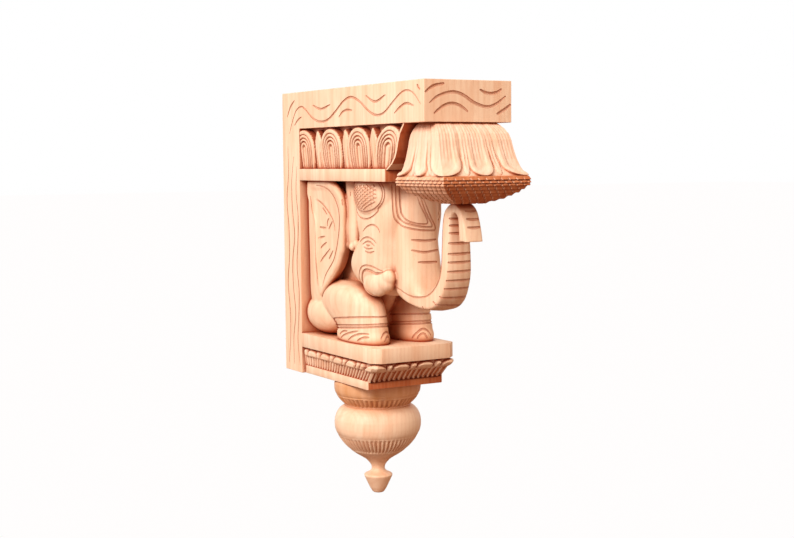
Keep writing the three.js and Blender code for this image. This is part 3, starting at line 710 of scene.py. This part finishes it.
def tube_of(name, around, along, place):
    """A closed form rolled from a grid: place gives its skin at a turn round it and a share along it."""
    def closed(u, v):
        # The first and the last row gather at their middle, which closes the ends
        share = np.clip((v - 0.02) / 0.96, 0, 1)
        x, depth, z = place(u, share)
        for end in (v < 1e-6, v > 1 - 1e-6):
            for line in (x, depth, z):
                line[end] = line[end].mean()
        return x, depth, z
    piece = sheet_of(name, around, along, closed)
    close_up(piece)
    return piece


def levels_skin(levels, hand_side, front_power, rear_power):
    """A form from its levels. Each gives height, middle across, middle depth, half width and half length."""
    curves = [flow(line) for line in zip(*levels)]

    def place(u, v):
        z, x, depth, half, run = (curve(v) for curve in curves)
        power = np.where(np.sin(2 * math.pi * u) > 0, front_power, rear_power)
        across, along = superellipse(u, power)
        return hand_side * x + across * half, depth + along * run, z
    return place


def level_pair(name, levels, power=2.2):
    """The same form from levels on the near side and on the far side."""
    return [tube_of(name, 120, 140, levels_skin(levels, side, power, power)) for side in (-1, 1)]


def ball(x, depth, z, across, along, tall):
    """A rounded form at a place, with its half sizes."""
    let_go()
    scale = Vector((across, along, tall)) * MM
    bpy.ops.mesh.primitive_uv_sphere_add(segments=48, ring_count=32, radius=1, scale=scale,
                                         location=at(x, depth, z))
    piece = bpy.context.object
    bpy.ops.object.transform_apply(location=True, rotation=True, scale=True)
    return piece


def ball_pair(x, *rest):
    """The same rounded form on both sides, at a distance from the middle."""
    return [ball(-x, *rest), ball(x, *rest)]


def fused(name, forms, step, kept):
    """Forms melted into one skin, as a carver leaves no seams between them; kept is its share of faces."""
    whole = joined(name, forms)
    apply_modifier(whole, "REMESH", mode="VOXEL", voxel_size=step * MM)
    apply_modifier(whole, "SMOOTH", factor=0.5, iterations=3)
    apply_modifier(whole, "DECIMATE", ratio=kept)
    return whole


# The head from the chin up: height, middle across, middle depth, half width and half length
HEAD_LEVELS = [
    (98, 0, 180, 16, 10), (104, 0, 173, 28, 25), (113, 0, 169, 35.5, 34), (122, 0, 166, 38.5, 39.5),
    (131, 0, 166, 40, 41), (141, 0, 169, 40, 39), (151, 0, 175, 39.5, 34.5), (160, 0, 178, 39.5, 33),
    (171, 0, 178, 39.5, 37.5), (183, 0, 178, 39.5, 42), (196, 0, 177.5, 39.5, 42.5),
    (209, 0, 177, 39.5, 41.5), (222, 0, 176, 39.5, 40.5),
]
# The trunk's sections, from the forehead down, forwards and up to its tip: depth and height of the upper
# edge and of the lower edge, half width, and how square the section is
TRUNK_SECTIONS = [
    (222, 212, 185, 208, 24, 2.3), (226, 192, 186, 190, 24.5, 2.3), (227, 175, 187, 172, 24.5, 2.3),
    (228, 158, 188, 152, 24, 2.3), (232, 142, 190, 132, 23.5, 2.4), (234.5, 128, 192, 114, 23, 2.7),
    (238, 116, 198, 102, 22.5, 3.4), (243, 108, 212, 95.5, 21, 4.5), (250, 104.5, 232, 91.5, 19.5, 8),
    (257, 105.5, 250, 90, 18, 12), (264, 109.5, 266, 92, 17, 12), (271, 115.5, 279, 101, 16, 12),
    (276.5, 123.5, 287, 115, 15.3, 12), (279, 134, 291, 130, 14.7, 12), (279.5, 150, 291.5, 149, 14, 12),
    (279, 165, 291.5, 166, 13, 12), (279, 178, 290.7, 179, 12.2, 12), (280.5, 188, 291.5, 184, 11.4, 12),
    (286, 194.5, 294, 187.5, 10.8, 12), (294, 198, 297.5, 189, 10.4, 12), (302, 196, 301, 187.5, 10.2, 12),
    (309, 190, 304, 184, 10.2, 12), (313.5, 180, 305.3, 176, 10.2, 12), (316.5, 170, 306, 168, 10.2, 12),
    (318.5, 160.5, 306.2, 161.5, 10.2, 12),
]
# How far the trunk's lower and upper faces bulge
TRUNK_CROWN = 2.6
TRUNK_TOP_CROWN = 0.8


def trunk_skin():
    """The trunk's skin through its sections, each a rounded square laid across its bend."""
    curves = [flow(line) for line in zip(*TRUNK_SECTIONS)]

    def place(u, v):
        upper_depth, upper_z, lower_depth, lower_z, half, power = (curve(v) for curve in curves)
        across, through = superellipse(u, power)
        run, rise = lower_depth - upper_depth, lower_z - upper_z
        size = np.hypot(run, rise)
        share = (1 + through) / 2
        bulge = np.where(through > 0, TRUNK_CROWN, TRUNK_TOP_CROWN)
        crown = (1 - across ** 2) * bulge * through * (v > 0.35)
        depth = upper_depth + run * share + crown * run / size
        return across * half, depth, upper_z + rise * share + crown * rise / size
    return place


# The ear's outline, by depth and height, from its top rear corner forwards, and the middle it shrinks to
EAR_EDGE = [
    (47, 222), (72, 222), (98, 222), (114, 215), (126, 204), (131, 189), (130.5, 171), (128.5, 147),
    (125, 138), (115, 122), (99, 108), (84, 95), (77, 89), (71, 97), (66, 110), (64.5, 137),
    (64, 154), (64.5, 168), (60, 181), (52.4, 194), (46, 207),
]
EAR_DEPTH, EAR_HEIGHT = 96, 158


def ear_skin(hand_side):
    """An ear as a thick leaf: its outline drawn in to its middle, with a rolled rim and a sunk face."""
    loop = flowing([(depth, z, 0) for depth, z in EAR_EDGE + EAR_EDGE[:1]], 0.5)
    rim = np.array([(p.x, p.y) for p in loop])

    def place(u, v):
        i = np.minimum((u * (len(rim) - 1)).astype(int), len(rim) - 1)
        size = np.interp(v, [0, 0.2, 0.26, 0.36, 0.46, 0.56, 1], [0.88, 1, 0.985, 0.93, 0.84, 0.78, 0])
        x = np.interp(v, [0, 0.2, 0.26, 0.36, 0.46, 0.56, 0.75, 1],
                      [31, 41, 43.4, 45.4, 45, 43.6, 42.6, 42])
        depth = EAR_DEPTH + (rim[i, 0] - EAR_DEPTH) * size
        return hand_side * x, depth, EAR_HEIGHT + (rim[i, 1] - EAR_HEIGHT) * size
    return place


# The soft band between the ear and the face, by the same measures as the head
NECK_LEVELS = [
    (146, 29, 132, 4, 6), (152, 29.5, 133, 7.5, 10), (166, 29.5, 134, 9, 11.5), (182, 29, 134, 9, 12),
    (200, 28.5, 132, 9, 12), (222, 28, 129, 9, 12),
]
head = tube_of("head", 200, 150, levels_skin(HEAD_LEVELS, 1, 2.6, 4.2))
trunk = tube_of("trunk", 128, 420, trunk_skin())
ears = [tube_of("ear", 240, 90, ear_skin(side)) for side in (-1, 1)]
necks = level_pair("neck", NECK_LEVELS)
# Small folds behind the cheek, the hanging lower lip, and the domes of the temples under the caps
lumps = ball_pair(34, 126, 151, 4.5, 5, 5)
lumps += ball_pair(34, 135.5, 148.5, 5, 5.5, 5)
lumps += ball_pair(35, 145, 151.5, 4, 4.5, 5)
lips = ball_pair(30, 178, 111, 10.5, 22, 13.5)
lips += ball_pair(28, 190, 114, 10, 17, 12)
lips += ball_pair(28, 200, 119, 7.5, 9.5, 8.5)
bosses = ball_pair(26, 174, 206, 20, 37, 30)
elephant_head = fused("elephant_head", [head, trunk, *ears, *necks, *lumps, *lips, *bosses], 0.9, 0.38)


def marks(*lines):
    """Lines given by points across, deep and high in millimetres, in Blender's frame."""
    return [[at(*point) for point in line] for line in lines]


# The ear's long folds and short rays
EAR_MARKS = marks(
    [(-45, 71, 214), (-45, 88, 212.5), (-44, 100, 208.5), (-43.5, 109, 203), (-43.5, 116, 195),
     (-43.5, 120.5, 187), (-43.5, 122, 177), (-43.5, 121, 167), (-43, 118, 157), (-43, 114.5, 147),
     (-43, 111, 139), (-43, 106, 131), (-43, 98, 124), (-43, 90, 117), (-43.5, 84, 109.5), (-45, 81, 101)],
    [(-44.5, 55, 201.5), (-45, 59.5, 188), (-45, 66, 172), (-45, 67, 154.5), (-45, 67.5, 137.5),
     (-45, 70, 119), (-45.5, 73.5, 102)],
    [(-43.5, 59, 201), (-43, 70.5, 197.5), (-43, 82, 193.5), (-42.5, 92, 187.5), (-42.5, 102, 180),
     (-42.5, 108, 172), (-42.5, 109.5, 164)],
    [(-42, 92, 169), (-42.5, 91.5, 174.5), (-42.5, 96, 178)],
    [(-42, 94.5, 166), (-42.5, 100, 171), (-42.5, 104, 175)],
    [(-42.5, 81.5, 189), (-42.5, 87, 186), (-42.5, 91.5, 182)],
    [(-43, 75, 167.5), (-42.5, 80.5, 167), (-42, 88.5, 167)],
    [(-44, 71.5, 155), (-43, 77, 156), (-42.5, 86, 157.5)],
    [(-43, 76.5, 144), (-42.5, 81.5, 147.5), (-42.5, 89.5, 151)],
    [(-43.5, 75.5, 128.5), (-42.5, 82.5, 134.5), (-42.5, 90, 139.5), (-42.5, 97.5, 144.5)],
    [(-42.5, 95, 133), (-42.5, 101, 138.5), (-42.5, 104.5, 143)],
)
# Brow, eyelids and eye, and the upper of the two mouth lines
FACE_MARKS = marks(
    [(-39.5, 166, 166), (-39.5, 175.5, 171.5), (-39, 187, 174), (-37.5, 194.5, 171.5), (-36.5, 197, 166)],
    [(-39, 159, 155), (-39.5, 168, 159), (-39.5, 179, 160.5), (-38.5, 188, 158), (-37.5, 191.5, 154.5)],
    [(-39.5, 165.5, 152.5), (-39.5, 175.5, 156), (-39, 184, 155), (-38, 188.5, 151.7)],
    [(-39.5, 168, 150), (-39.5, 177.5, 148), (-38.5, 186, 149.5)],
    [(-39.5, 171.5, 145.7), (-39.5, 180, 144.2), (-38.5, 188, 146)],
    [(-39.5, 173.5, 152.3), (-39.5, 177.5, 151.3), (-39.5, 181, 152.2)],
    [(-35.5, 151, 113), (-38, 155, 120.5), (-39.5, 161, 127), (-39.5, 169.5, 130.3), (-39, 179, 130.8),
     (-37, 187, 129), (-33.5, 193, 126), (-31, 198, 124.5)],
)
# The mouth's opening and the edge of the lower lip
MOUTH_MARKS = marks(
    [(-33.5, 155.5, 109), (-37.5, 160, 117.5), (-38.5, 165, 123.5), (-39, 172.5, 126), (-37.5, 181, 125),
     (-35, 188, 122.3), (-32.5, 198, 124.5), (-27, 206, 130)],
    [(-38, 163, 113), (-39.5, 168, 106.5), (-38, 176, 101.5), (-33.5, 182.5, 98), (-26, 188, 97)],
)
# The cloth that hangs over the forehead from the near side to past its middle, with its borders
CLOTH_MARKS = marks(
    [(-29, 209.5, 216), (-29, 211, 198.5), (-28.5, 212, 185), (-26, 212.5, 178.5), (-22.5, 216.5, 174),
     (-17, 221.5, 171), (-5.5, 227, 168.7), (8, 227, 168), (15, 225, 168.5), (14.5, 225, 172),
     (9.5, 226, 179), (4.5, 226, 189), (0, 224.5, 202)],
    [(-26, 212, 216), (-26.3, 213.5, 198), (-25.5, 214.5, 186), (-23.3, 215.5, 180.3), (-20, 220, 176.7),
     (-13.5, 224.5, 174), (-3, 227, 172), (6, 227, 171.4), (10.5, 226.5, 171.8), (9, 226.5, 175),
     (5, 226.5, 181), (0.5, 226.5, 190), (-3.5, 224.5, 203)],
    [(-22.7, 214, 216), (-23, 216, 196), (-22, 217, 186), (-20, 220, 181), (-16.5, 222.5, 177.7),
     (-10, 226, 175.6), (-2, 227, 174.6), (3.5, 227, 174.8), (4, 227, 177), (1, 226.5, 184),
     (-3.5, 226, 192), (-7, 224, 203)],
    [(29, 209.5, 216), (29, 211, 198.5), (28.5, 212, 185), (26, 213, 178.5), (21.5, 217, 174)],
    [(25.8, 212, 216), (25.8, 213.5, 198), (25, 214.5, 187), (22.5, 216, 182)],
)
# The wrinkles across the face, up the trunk's front and on its bent tip
WRINKLES = marks(
    [(-15, 224.5, 159), (0, 228, 157.5), (15, 224.5, 158.5)],
    [(-16, 226, 148.5), (-8.5, 230, 146.7), (0, 231, 146), (16, 226, 147.5)],
    [(-11, 231, 136), (0, 233, 135.5), (12, 231.5, 135.7)],
    *[[(-half, depth, z), (0, depth + 2.6, z - 0.3), (half, depth, z + 0.4)] for half, depth, z in (
        (12, 290.5, 183), (12, 291, 176), (12.5, 291.5, 168.5), (13.3, 291.5, 158.5), (13.8, 291.5, 148),
        (14, 291.5, 139.5), (14.3, 291, 130.3), (14.8, 289, 121.3), (15.3, 286, 113))],
    [(-16, 279, 105), (-9, 283, 103.5), (0, 284, 102.8), (15.5, 280, 105)],
    [(-17, 268, 99), (-12, 274, 96.5), (0, 276, 95), (16.5, 268, 98)],
    [(-19, 250, 92.5), (-12, 252, 90), (0, 253, 88), (18, 250, 91.5)],
    [(-5, 309.5, 191), (2, 310, 190.7), (8.5, 309, 191)],
    [(-6, 313, 183), (1.5, 313.5, 182.3), (9, 313, 183)],
    [(-6.5, 316, 175), (0, 316.5, 174.3), (9, 316, 175)],
)
# The line where the trunk's side turns into its wrinkled upper face
TRUNK_EDGE = marks(
    [(-23, 204, 109), (-22.5, 213, 107.5), (-21.5, 225, 103.5), (-20.3, 237, 101.3), (-18.8, 249, 101.8),
     (-17.5, 258.5, 103.8), (-16.5, 266, 108), (-15.5, 273, 114.3), (-15, 278.5, 123), (-14.5, 281, 134),
     (-14, 281.5, 150), (-13, 281, 165), (-12.2, 281, 178), (-11.4, 282.5, 187)],
)
# The cap on each temple: a border of two rings round a lattice that leaves small diamond beads
CAP_DEPTH, CAP_HEIGHT, CAP_SIDE = 172, 206, 50
CAP_PITCH = 4.2
cap_rings = []
for wide, tall in ((34, 26.5), (31, 23.3)):
    turns = np.radians(np.linspace(150, 395, 24))
    cap_rings.append([(-CAP_SIDE + 15 * max(math.cos(a), 0) ** 2, CAP_DEPTH + wide * math.cos(a),
                       CAP_HEIGHT + tall * math.sin(a)) for a in turns])


def lattice(slope):
    """Straight cuts one way across the cap; depth is stretched, because the dome turns away forwards."""
    cuts = []
    for k in range(-8, 9):
        inside = []
        for way in np.linspace(-36, 36, 73):
            level = (k * CAP_PITCH + way) / 2
            deep = slope * (k * CAP_PITCH - way) / 2
            # Only where the cap shows: within its inner ring and clear of the fillet above
            if (deep / 13.8) ** 2 + (level / 20.6) ** 2 < 1 and CAP_HEIGHT + level < 217:
                side = -CAP_SIDE + 13 * max(2 * deep / 34, 0) ** 2
                inside.append((side, CAP_DEPTH + 2 * deep, CAP_HEIGHT + level))
        if len(inside) > 4:
            cuts.append(inside[::3])
    return marks(*cuts)


gouge(elephant_head, both_sides(EAR_MARKS), width=2.5)
gouge(elephant_head, both_sides(FACE_MARKS), width=2.1)
gouge(elephant_head, both_sides(MOUTH_MARKS), width=3.4)
gouge(elephant_head, [*both_sides(TRUNK_EDGE), *CLOTH_MARKS], width=2.3)
gouge(elephant_head, WRINKLES, width=3.2)
gouge(elephant_head, both_sides(marks(*cap_rings) + lattice(1)), width=2.1)
gouge(elephant_head, both_sides(lattice(-1)), width=2.1)
finish_carved(elephant_head)

# The body by the same measures: each foreleg and thigh from the foot up, and the flank behind the ear
LEG_LEVELS = [
    (45, 27.7, 143.4, 18, 42.5), (49, 27.7, 143.4, 19.3, 44.2), (54, 27.7, 143.5, 19.4, 44.6),
    (59, 27.7, 143.2, 18.2, 43.2), (64, 27.7, 141, 18.2, 45), (69, 27.7, 134, 18.6, 51.5),
    (75, 27.7, 127, 19.4, 57), (82, 27.7, 122, 20.2, 59), (90, 27.7, 119.5, 20.5, 56),
    (98, 27.7, 116.5, 19.2, 47), (105, 27.7, 113.5, 15, 33), (110, 27.7, 112, 7, 14),
]
FOLD_LEVELS = [
    (64, 26, 62, 12, 16), (90, 26, 63, 18, 22), (130, 26, 63, 18.3, 24), (175, 26, 60, 18, 23),
    (222, 26, 56, 17, 20),
]
legs = level_pair("leg", LEG_LEVELS)
folds = level_pair("fold", FOLD_LEVELS, 2.6)
hinds = ball_pair(27, 66, 70, 20.5, 42, 23)
torso = [ball(0, 99, 124, 23, 69, 66), ball(0, 92, 70, 25, 52, 30), ball(0, 96, 200, 28, 60, 40)]
elephant_body = fused("elephant_body", [*legs, *folds, *hinds, *torso], 1.0, 0.42)
# The curls of the toes, at the foot's side and front
FOOT_MARKS = marks(
    [(-45.5, 124, 53), (-46, 132, 57), (-46, 142, 58)],
    [(-46, 127.5, 49.5), (-47, 138, 54), (-46, 150.5, 57.5), (-44, 162.5, 60)],
    [(-47, 145.5, 49), (-46, 156.5, 54.5), (-43, 168, 57.5), (-39.5, 178, 58)],
    [(-45.5, 163, 50), (-43, 172, 54), (-39.5, 179, 54.5)],
    [(-11.5, 178, 49), (-13.5, 182, 55), (-17, 185, 59), (-22, 187, 60.5), (-27, 187, 59), (-30.5, 186, 53)],
    [(-15, 184, 49), (-17, 186, 53.5), (-20.5, 187, 56), (-24, 187, 55), (-26.5, 187, 50)],
)


def anklet(z):
    """A line round the ankle at a height over its rear, rising a little to the front."""
    loop = []
    for turn in np.linspace(200, 555, 40):
        across, along = superellipse(np.array(turn / 360), 2.2)
        # The leg's middle and half sizes at the ankle, as its levels have them
        depth = 141 + 46 * along
        loop.append((-27.7 - 19 * across, depth, z + 0.1 * (depth - 120)))
    return loop


anklets = [anklet(z) for z in (59.5, 62.2, 70.5)]
gouge(elephant_body, both_sides(FOOT_MARKS), width=2.8)
gouge(elephant_body, both_sides(marks(*anklets)), width=2.3)
finish_carved(elephant_body)

# Base. The elephant's slab has its front corners cut off. Under it a sloping moulding carries a row of
# rounded knobs over upright ribs, and a plain fillet closes it off above the pendant. All of it is cut from
# the same block.
SLAB_TOP = 46
SLAB_UNDERSIDE = 30
# Half width, reach from the wall and cut corner of the slab and of the fillet
SLAB_PLAN = (SIDE, 209, 9)
BASE_FILLET_PLAN = (47, 186, 1.5)
BASE_FILLET_TOP = 9


def base_slice(name, plan, z_low, z_high):
    """A slice of the base between two heights, by its plan, with its edges just broken."""
    let_go()
    bpy.ops.mesh.primitive_circle_add(vertices=6, radius=1, fill_type="NGON")
    piece = bpy.context.object
    piece.name = name
    half, reach, cut = plan
    corners = [(-half, IN_BOARD), (-half, reach - cut), (-half + cut, reach), (half - cut, reach),
               (half, reach - cut), (half, IN_BOARD)]
    for vertex, (x, depth) in zip(piece.data.vertices, corners):
        vertex.co = at(x, depth, z_low)
    bpy.ops.object.mode_set(mode="EDIT")
    bpy.ops.mesh.select_all(action="SELECT")
    bpy.ops.mesh.extrude_region_move(TRANSFORM_OT_translate={"value": (0, 0, 1 * MM)})
    hand = bmesh.from_edit_mesh(piece.data)
    top = at(0, 0, z_high).z
    for vertex in hand.verts:
        if vertex.select:
            vertex.co.z = top
    bmesh.update_edit_mesh(piece.data)
    bpy.ops.mesh.select_all(action="SELECT")
    bpy.ops.mesh.normals_make_consistent(inside=False)
    bpy.ops.object.mode_set(mode="OBJECT")
    apply_modifier(piece, "BEVEL", width=0.7 * MM, segments=2, limit_method="ANGLE")
    return piece


slab = base_slice("slab", SLAB_PLAN, SLAB_UNDERSIDE, SLAB_TOP)
finish_carved(slab)
base_fillet = base_slice("base_fillet", BASE_FILLET_PLAN, 0, BASE_FILLET_TOP)
finish_carved(base_fillet)
# The base fillet's faces turned to the front take painted shade, under the slab
shade_front(base_fillet, front_shade_wood)

MOULDING_FOOT = 8
MOULDING_HEIGHT = 22.5
KNOB_TOP = 28.8
KNOB_HEIGHT = 9.5
RIB_PITCH = 6.4
# How far the moulding runs along each side, along the front, and up its slope
SIDE_RUN, FRONT_RUN, SLOPE_RUN = 162.0, 94.0, 24
# Knobs along a side, by their distance from the wall, and along the front: middle and half width
SIDE_KNOBS = ((49, 4), (64, 10.6), (79.5, 4), (95, 10.6), (110.5, 4), (126, 10.6), (140.5, 4),
              (155.5, 10.6), (171, 4), (180, 4), (203, 16))
FRONT_KNOBS = ((-47, 14), (-30, 3.6), (-15.5, 10.5), (-0.5, 4.2), (14.3, 10.5), (30.5, 4.2), (47, 12))
# Deep enough that a knob of the other face never shows
NO_KNOB = -9


def knob(across, rise, half):
    """How proud a rounded knob at the top of the moulding stands."""
    body = 4.4 * np.clip(tongue(across, rise, half, 0.55) / 2.8, 0, 1) ** 0.5
    return body * np.clip((KNOB_HEIGHT - rise) / 2.4, 0, 1) ** 0.5


def ribs(way, rise):
    """Upright ribs below the knobs, with deep cuts between them."""
    wave = np.abs(np.sin(math.pi * way / RIB_PITCH)) ** 0.8
    return (4.4 * wave - 2.4) * np.clip((rise - KNOB_HEIGHT + 2) / 1.6, 0, 1)


def base_moulding(u, v):
    """The moulding's place on its plan at a share round it, and how proud its carving stands."""
    z = MOULDING_FOOT + MOULDING_HEIGHT * v
    half = np.interp(z, [8, 10, 18, 25, 28, 31], [44.0, 44.4, 45.4, 46.4, 46.0, 45.0])
    front = np.interp(z, [8, 10, 18, 25, 28, 31], [186, 187, 195, 202.5, 202.5, 201])
    way = u * (2 * SIDE_RUN + FRONT_RUN)
    on_near = way < SIDE_RUN
    on_front = (way >= SIDE_RUN) & (way < SIDE_RUN + FRONT_RUN)
    run = np.where(on_near, way, 2 * SIDE_RUN + FRONT_RUN - way) / SIDE_RUN
    across = (way - SIDE_RUN) / FRONT_RUN * 2 - 1
    x = np.where(on_near, -half, np.where(on_front, half * across, half))
    depth = np.where(on_front, front, IN_BOARD + (front - IN_BOARD) * run)
    # Knobs and ribs are spaced by where they lie, and their rise is measured down from the knobs' tops
    rise = KNOB_TOP - z
    level = IN_BOARD + SIDE_RUN * run
    front_way = across * FRONT_RUN / 2
    proud = ribs(np.where(on_front, front_way, level), rise)
    for centre, half in SIDE_KNOBS:
        proud = np.maximum(proud, np.where(on_front, NO_KNOB, knob(np.abs(level - centre), rise, half)))
    for centre, half in FRONT_KNOBS:
        proud = np.maximum(proud, np.where(on_front, knob(np.abs(front_way - centre), rise, half), NO_KNOB))
    return x, depth, z, proud, on_near, on_front


def base_skin(u, v):
    """The moulding's skin, with the knobs and ribs standing straight out of its side and front."""
    x, depth, z, proud, on_near, on_front = base_moulding(u, v)
    out_x = np.where(on_front, 0.0, np.where(on_near, -1.0, 1.0))
    return x + out_x * proud, depth + np.where(on_front, proud, 0.0), z


moulding = sheet_of("base_moulding", int((2 * SIDE_RUN + FRONT_RUN) / RELIEF_STEP),
                    int(SLOPE_RUN / RELIEF_STEP), base_skin)
keep_active(moulding)
bpy.ops.object.mode_set(mode="EDIT")
bpy.ops.mesh.select_all(action="SELECT")
bpy.ops.mesh.fill_holes(sides=0)
bpy.ops.mesh.normals_make_consistent(inside=False)
bpy.ops.object.mode_set(mode="OBJECT")
finish_carved(moulding)
# The ribs' faces turned to the front take painted shade, under the slab
shade_front(moulding, front_shade_wood, turned=0.2, below=KNOB_TOP - KNOB_HEIGHT)

# Pendant. A separate turning of paler, smoother wood, pegged and glued under the base: a drum that narrows
# through a band of flutes to a waist, a bulb with flutes round its lower part, a thin neck and an acorn.
# Turned on a lathe, with the flutes cut by hand and fine lines scored above them.
PENDANT_AXIS = 125.5
JOINT_GAP = 0.3
WAIST_DROP = 26
# Radius and drop from the pendant's top
PENDANT_PROFILE = [
    (0, 0), (47, 0), (47.8, 3), (47.8, 8), (47.3, 11.5), (46.2, 14), (45.2, 15), (45.5, 15.6), (45, 16.6),
    (43.6, 19), (41.4, 21.6), (38.6, 24.4), (37.2, 25.6), (36.2, 26.2), (35.8, 27.2), (36.8, 28),
    (39.4, 29.4), (42, 31.4), (44.4, 34.2), (46.2, 37.8), (47.5, 42), (47.9, 46.5), (47.8, 50.5),
    (47, 54.6), (45.8, 57.6), (45, 58.8), (44.4, 59.2), (44.7, 59.8), (44, 61), (41.8, 65), (38.8, 69),
    (35.2, 73), (31.6, 76.2), (30.4, 76.8), (30.2, 77.6), (28.4, 79), (23.9, 82.2), (18.8, 85.2),
    (14, 88.4), (10.4, 92), (8, 95.4), (7.2, 98.4), (7.6, 100.8), (9.4, 102.8), (12.4, 104.4),
    (15.2, 105.6), (15.9, 106.8), (15.3, 108.4), (12.4, 114.6), (9.4, 121), (6.8, 125.2), (5.6, 126.4),
    (0, 127.4),
]
DRUM_FLUTES = 48
BULB_FLUTES = 56
# Each flute of either band has a whole number of these
SEGMENTS = 336
PROFILE_STEPS = 170


def pendant_skin(u, v):
    """The turning's skin: the profile spun round, less the two bands of flutes."""
    profile = np.array(PENDANT_PROFILE, float)
    lengths = np.concatenate([[0], np.cumsum(np.hypot(*np.diff(profile, axis=0).T))])
    share = v * lengths[-1]
    radius = np.interp(share, lengths, profile[:, 0])
    drop = np.interp(share, lengths, profile[:, 1])
    turn = 2 * math.pi * u
    # The flutes run from 16.2 to 25.8 mm and from 60.4 to 76.8 mm below the top, with rounded ends
    upper = np.clip(np.minimum(drop - 16.2, 25.8 - drop) / 1.8, 0, 1) ** 0.6
    lower = np.clip(np.minimum(drop - 60.4, 76.8 - drop) / 2.0, 0, 1) ** 0.6
    radius = radius - (2.1 * upper * (0.5 + 0.5 * np.cos(DRUM_FLUTES * turn))
                       + 1.9 * lower * (0.5 + 0.5 * np.cos(BULB_FLUTES * turn)))
    return radius * np.sin(turn), PENDANT_AXIS + radius * np.cos(turn), -JOINT_GAP - drop


pendant = sheet_of("pendant", SEGMENTS, PROFILE_STEPS, pendant_skin)
close_up(pendant)
# Sanded on the lathe: the smoothest wood here, so it is pale all round with a soft sheen
turned_wood = raw_wood("raw_turned_hardwood", "#F3D0B0", "#EBBC98", "#DDA076", "#B0602F", 0.5, 5)
pendant.data.materials.append(turned_wood)
# The drum, right under the base, gets a darker, more orange copy of the wood: painted shadow of the base
# above it. It is also a little rougher than the sanded bulb
drum_shadow_wood = raw_wood("shadowed_turned_drum", "#E4AE84", "#D2925F", "#9C4818", "#8A3A12", 0.6, 5)
pendant.data.materials.append(drum_shadow_wood)
for face in pendant.data.polygons:
    if face.center.z > at(0, 0, -WAIST_DROP).z:
        face.material_index = 1
keep_active(pendant)
bpy.ops.object.shade_smooth_by_angle(angle=math.radians(40))
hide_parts("turned_pendant")
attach(pendant, "root")
